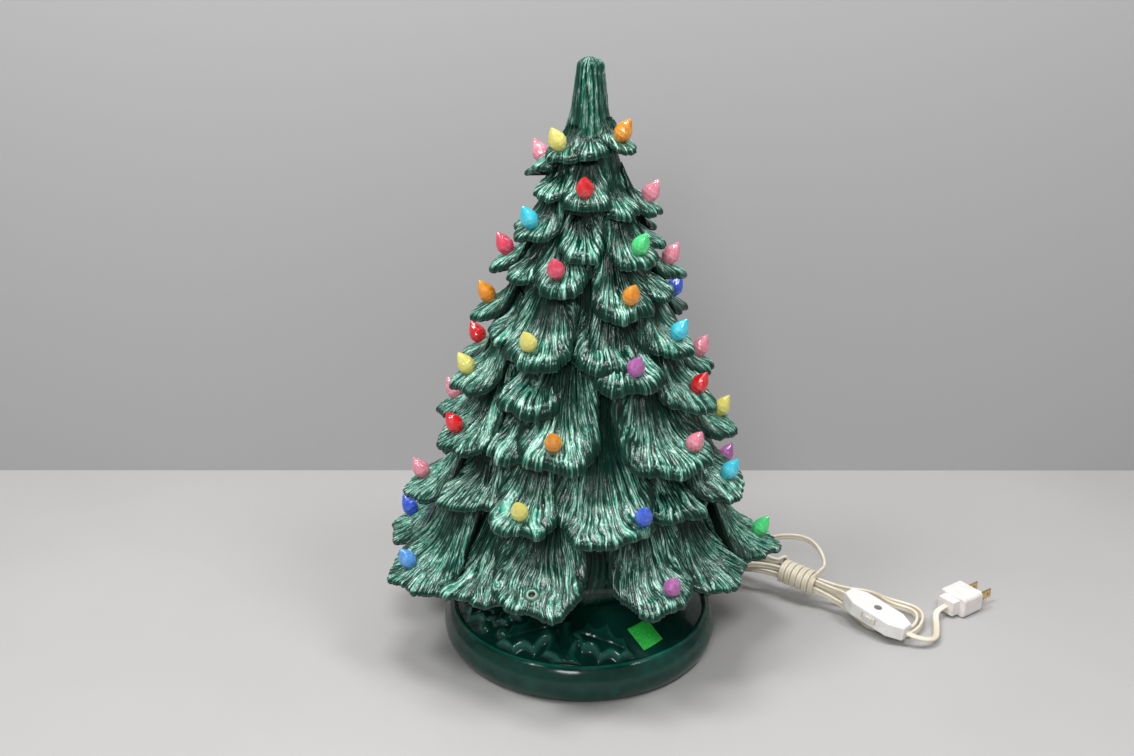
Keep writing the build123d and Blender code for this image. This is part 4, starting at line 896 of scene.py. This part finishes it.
# Bare boughs: lobes of the same casting that have no hole and are set back between the lit ones.
# Each is given by its height share and azimuth.
BARE = [
    (0.862, 5), (0.858, 113), (0.838, -152), (0.832, -79), (0.790, -56), (0.762, 45), (0.762, 133),
    (0.785, -150), (0.702, -6), (0.690, 89), (0.704, 176), (0.712, -101), (0.645, -59), (0.617, 65),
    (0.632, 138), (0.640, -140), (0.540, -62), (0.520, 14), (0.570, -176), (0.556, -121), (0.440, -34),
    (0.440, 84), (0.360, -39), (0.240, -58), (0.250, 46), (0.215, 94), (0.100, -42), (0.098, 61),
    (0.100, 155), (0.100, -160),
]
# Front boughs that are wider or narrower than usual, or carry their light to one side:
# degrees aside, width share.
SHAPED = {
    "light_21_pink": (-7, 1.22), "light_22_yellow": (0, 0.78), "light_23_blue": (-12, 1.02),
    "light_27_purple": (-3, 0.74), "empty": (0, 0.88),
}


def light_seat(share):
    """Distance from the axis and height above the table of the seat of a light."""
    tall = share * TREE_TALL
    return CONE_FOOT * (1 - tall / CONE_TALL), SEAT_LEVEL + tall


def light_axis(azimuth):
    return outward(azimuth) * sin(LIGHT_TILT) + Vector((0, 0, cos(LIGHT_TILT)))


lobes = []
for share, azimuth, node in BOUGHS:
    lean, girth = SHAPED.get(node, (0, 1))
    lobes.append((share, azimuth + lean, 1.0, lean, girth))
for share, azimuth in BARE:
    lobes.append((share, azimuth, 0.90, None, 1))
bare_hole = [node for _, _, node in BOUGHS].index("empty")
hole_push, hole_reach = 6.5, 4.0
TIERS = [(0.66, "top"), (0.51, "upper"), (0.39, "waist"), (0.30, "middle"), (0.15, "lower"), (0, "bottom")]
tiers = {}
for number, (share, azimuth, depth, lean, girth) in enumerate(lobes):
    cone_seat, level = light_seat(share)
    seat = cone_seat * depth
    light_at = None if lean is None else -seat * sin(radians(lean))
    points, values, spots = bough_sheet(seat, level, azimuth, 100 + number, light_at, girth)
    if number == bare_hole:
        hole_axis = np.array(light_axis(azimuth))
        hole_side = np.array(across(azimuth))
        hole_seat = np.array(outward(azimuth) * seat + Vector((0, 0, level)))
        deep = (points - hole_seat) @ hole_axis
        aside = np.linalg.norm(points - hole_seat - deep[:, :, None] * hole_axis, axis=2)
        points = points - hole_axis * (hole_push * ((aside < hole_reach) & (deep > -3)))[:, :, None]
    sheet = grid_piece(f"bough_{number}", points, values, spots)
    tier = next(name for floor, name in TIERS if share > floor)
    if tier != "top":
        tier += "_front" if abs(azimuth) < 85 else "_left" if azimuth < 0 else "_right"
    tiers.setdefault(tier, []).append(sheet)
for tier, sheets in tiers.items():
    picked(*sheets)
    bpy.ops.object.join()
    boughs = bpy.context.object
    boughs.name = f"boughs_{tier}"
    weld(boughs)
    boughs.data.materials.append(tree_glaze)
    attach(boughs, "tree")

# Empty hole: the seat of a light that is lost, a short bore through the casting.
# Its rim shows pale clay where the glaze was cut through. The bore is closed by a floor painted near black,
# painted shade in place of the dark hollow seen through it.
RIM_SECTION = [
    (0.0, -2.6, 0), (2.4, -2.6, 0), (2.4, 0.1, 0.8), (2.6, 0.35, 0.85), (3.4, 0.42, 0.36), (4.4, 0.2, 0.34),
    (5.2, -0.5, 0.32), (5.4, -1.6, 0.2), (3.2, -3.0, 0), (0.0, -3.0, 0),
]
bore = np.array(RIM_SECTION)
spin = np.linspace(-pi, pi, 49)
hole_up = np.cross(hole_axis, hole_side)
round_hole = np.cos(spin)[:, None] * hole_side + np.sin(spin)[:, None] * hole_up
round_hole = round_hole * (1 + 0.02 * np.sin(5 * spin + 1))[:, None]
hole_points = hole_seat + bore[:, :1, None] * round_hole + bore[:, 1:2, None] * hole_axis
hole_value = np.repeat(bore[:, 2:], len(spin), 1)
hole_rim = grid_piece("hole_rim", hole_points, hole_value, np.zeros((*hole_value.shape, 2)))
weld(hole_rim)
CUT_CLAY_AND_BORE_SHADE = [
    (0.0, (0.004, 0.010, 0.007)), (0.30, (0.010, 0.07, 0.045)),
    (0.60, (0.22, 0.36, 0.27)), (1.0, (0.50, 0.56, 0.44)),
]
cut_clay_and_bore_shade = glaze("cut_clay_and_bore_shade", CUT_CLAY_AND_BORE_SHADE, 0.3, 0.2, (0.5, 0.5, 1))
hole_rim.data.materials.append(cut_clay_and_bore_shade)
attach(hole_rim, "tree")


# Peg lights: teardrops of translucent acrylic, cut in facets that turn from row to row,
# on stems that drop into the holes. One is drawn up from a disc and copied to every bough.
STEM_RADIUS, STEM_FOOT = 2.2, -7.5
FACETS = 12
FLANGE_SINK = 0.6
PEG_SECTION = [
    (-0.2, 2.2), (0.0, 2.5), (0.0, 3.7), (0.2, 3.9), (0.8, 3.9), (2.4, 5.1),
    (5.2, 6.0), (8.0, 5.5), (10.8, 4.1), (13.2, 2.6), (15.2, 1.2), (16.2, 0.2),
]
bpy.ops.mesh.primitive_circle_add(
    vertices=FACETS, radius=STEM_RADIUS * 0.001, fill_type="NGON", location=(0, 0, STEM_FOOT * 0.001)
)
peg = bpy.context.object
peg.name = "peg_pattern"
bpy.ops.object.transform_apply(location=True)
bpy.ops.object.mode_set(mode="EDIT")
bpy.ops.mesh.select_all(action="SELECT")
level, girth = STEM_FOOT, STEM_RADIUS
for z, r in PEG_SECTION:
    bpy.ops.mesh.extrude_region_move(TRANSFORM_OT_translate={"value": (0, 0, (z - level) * 0.001)})
    bpy.ops.transform.resize(value=(r / girth, r / girth, 1), center_override=(0, 0, z * 0.001))
    if z > 1:
        half_facet = radians(180 / FACETS)
        bpy.ops.transform.rotate(value=half_facet, orient_axis="Z", center_override=(0, 0, z * 0.001))
    level, girth = z, r
bpy.ops.mesh.select_all(action="SELECT")
bpy.ops.mesh.normals_make_consistent(inside=False)
bpy.ops.object.mode_set(mode="OBJECT")
bpy.ops.object.shade_smooth_by_angle(angle=radians(14))

PLASTICS = {
    "red": (0.90, 0.012, 0.018), "rose": (0.95, 0.09, 0.17), "pink": (1.0, 0.34, 0.44),
    "orange": (1.0, 0.36, 0.015), "yellow": (0.97, 0.88, 0.22), "green": (0.10, 0.88, 0.28),
    "blue": (0.05, 0.15, 0.85), "sky": (0.12, 0.42, 0.97), "aqua": (0.06, 0.74, 0.93),
    "purple": (0.60, 0.16, 0.52),
}
plastics = {}
for colour, tone in PLASTICS.items():
    plastics[colour], graph, shader = plain_finish(f"{colour}_acrylic", tone, 0.03)
    shader.inputs["IOR"].default_value = 1.49
    shader.inputs["Specular IOR Level"].default_value = 1.0
    shader.inputs["Transmission Weight"].default_value = 0.30
    shader.inputs["Subsurface Weight"].default_value = 0.5
    shader.inputs["Subsurface Radius"].default_value = [0.2 + c for c in tone]
    shader.inputs["Subsurface Scale"].default_value = 0.004
    # Pale patches in each tint are painted glow, as of light coming through the acrylic; the same noise dents
    # its surface.
    glow_and_dent_noise = noise(graph, places(graph), 260, 3)
    deep_tone = [c * 0.92 for c in tone]
    glow_tone = [c + 0.30 * (1 - c) * c**0.3 for c in tone]
    graph.links.new(tinted(graph, glow_and_dent_noise, [(0.45, deep_tone), (0.68, glow_tone)]), shader.inputs["Base Color"])
    dented(graph, shader, glow_and_dent_noise, 0.8, 0.0008)

carried = {}
for number, (share, azimuth, node) in enumerate(BOUGHS):
    if node == "empty":
        continue
    seat, level = light_seat(share)
    axis, aside = light_axis(azimuth), across(azimuth)
    spin = Matrix.Rotation(radians(number * 47), 3, "Z")
    turn = Matrix((aside, axis.cross(aside), axis)).transposed() @ spin
    spot = outward(azimuth) * seat + Vector((0, 0, level)) - axis * FLANGE_SINK
    picked(peg)
    bpy.ops.object.duplicate()
    light = bpy.context.object
    light.matrix_world = Matrix.Translation(spot * 0.001) @ turn.to_4x4()
    bpy.ops.object.transform_apply(location=True, rotation=True, scale=True)
    carried.setdefault(node, []).append(light)
for node, pegs in carried.items():
    picked(*pegs)
    if len(pegs) > 1:
        bpy.ops.object.join()
    light = bpy.context.object
    colour = node.split("_")[-1]
    light.name = f"{node}_peg"
    light.data.materials.append(plastics[colour])
    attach(light, frame["nodes"][node]["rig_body"])
    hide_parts(node)
bpy.data.objects.remove(peg)


# Stage: a pale matt table top under four soft lamp panels, and a plain grey screen behind it,
# which is seen through from its back.
bpy.ops.mesh.primitive_plane_add(size=3.2, location=(0, 0, -0.0003))
table = bpy.context.object
table.name = "table_top"
table_finish = speckled("pale_table", (0.42, 0.413, 0.408), (0.45, 0.443, 0.438), 3, 0.55, grain=0.0)
table.data.materials.append(table_finish)
bpy.ops.mesh.primitive_plane_add(size=1, location=(0, 0.262, 0.6), rotation=(radians(90), 0, radians(2.6)))
screen = bpy.context.object
screen.name = "grey_screen"
screen.scale = (8, 1.2, 1)
screen_finish, graph, shader = plain_finish("grey_screen", (0.39, 0.388, 0.39), 0.8)
clear = graph.nodes.new("ShaderNodeBsdfTransparent")
facing = graph.nodes.new("ShaderNodeNewGeometry")
blend = graph.nodes.new("ShaderNodeMixShader")
graph.links.new(facing.outputs["Backfacing"], blend.inputs["Fac"])
graph.links.new(shader.outputs["BSDF"], blend.inputs[1])
graph.links.new(clear.outputs["BSDF"], blend.inputs[2])
graph.links.new(blend.outputs["Shader"], graph.nodes["Material Output"].inputs["Surface"])
screen.data.materials.append(screen_finish)
for name, spot, aim, size, power in [
    ("panel_middle", (-0.10, -0.20, 1.42), (0, 0, 0.15), (0.40, 0.32), 8.0),
    ("panel_left", (-0.62, -0.36, 1.30), (0, 0, 0.15), (0.36, 0.30), 9.0),
    ("panel_right", (0.60, -0.36, 1.28), (0, 0, 0.15), (0.36, 0.30), 7.0),
    ("panel_front", (-0.20, -1.15, 1.00), (0, 0, 0.14), (0.36, 0.30), 6),
]:
    way = Vector(aim) - Vector(spot)
    bpy.ops.object.light_add(type="AREA", location=spot, rotation=way.to_track_quat("-Z", "Y").to_euler())
    lamp = bpy.context.object
    lamp.name = name
    lamp.data.shape = "RECTANGLE"
    lamp.data.size, lamp.data.size_y = size
    lamp.data.energy = power
world = bpy.data.worlds.new("studio")
bpy.context.scene.world = world
world.use_nodes = True
graph = world.node_tree
sight = graph.nodes.new("ShaderNodeLightPath").outputs
mirrored = worked_out(graph, "MAXIMUM", sight["Is Glossy Ray"], sight["Is Transmission Ray"])
sky = graph.nodes.new("ShaderNodeMix")
sky.data_type = "RGBA"
sky.inputs["A"].default_value = (0.24, 0.24, 0.245, 1)
sky.inputs["B"].default_value = (0.34, 0.34, 0.345, 1)
graph.links.new(worked_out(graph, "MAXIMUM", sight["Is Camera Ray"], mirrored), sky.inputs["Factor"])
graph.links.new(sky.outputs["Result"], graph.nodes["Background"].inputs["Color"])
bpy.context.scene.view_settings.view_transform = "Standard"
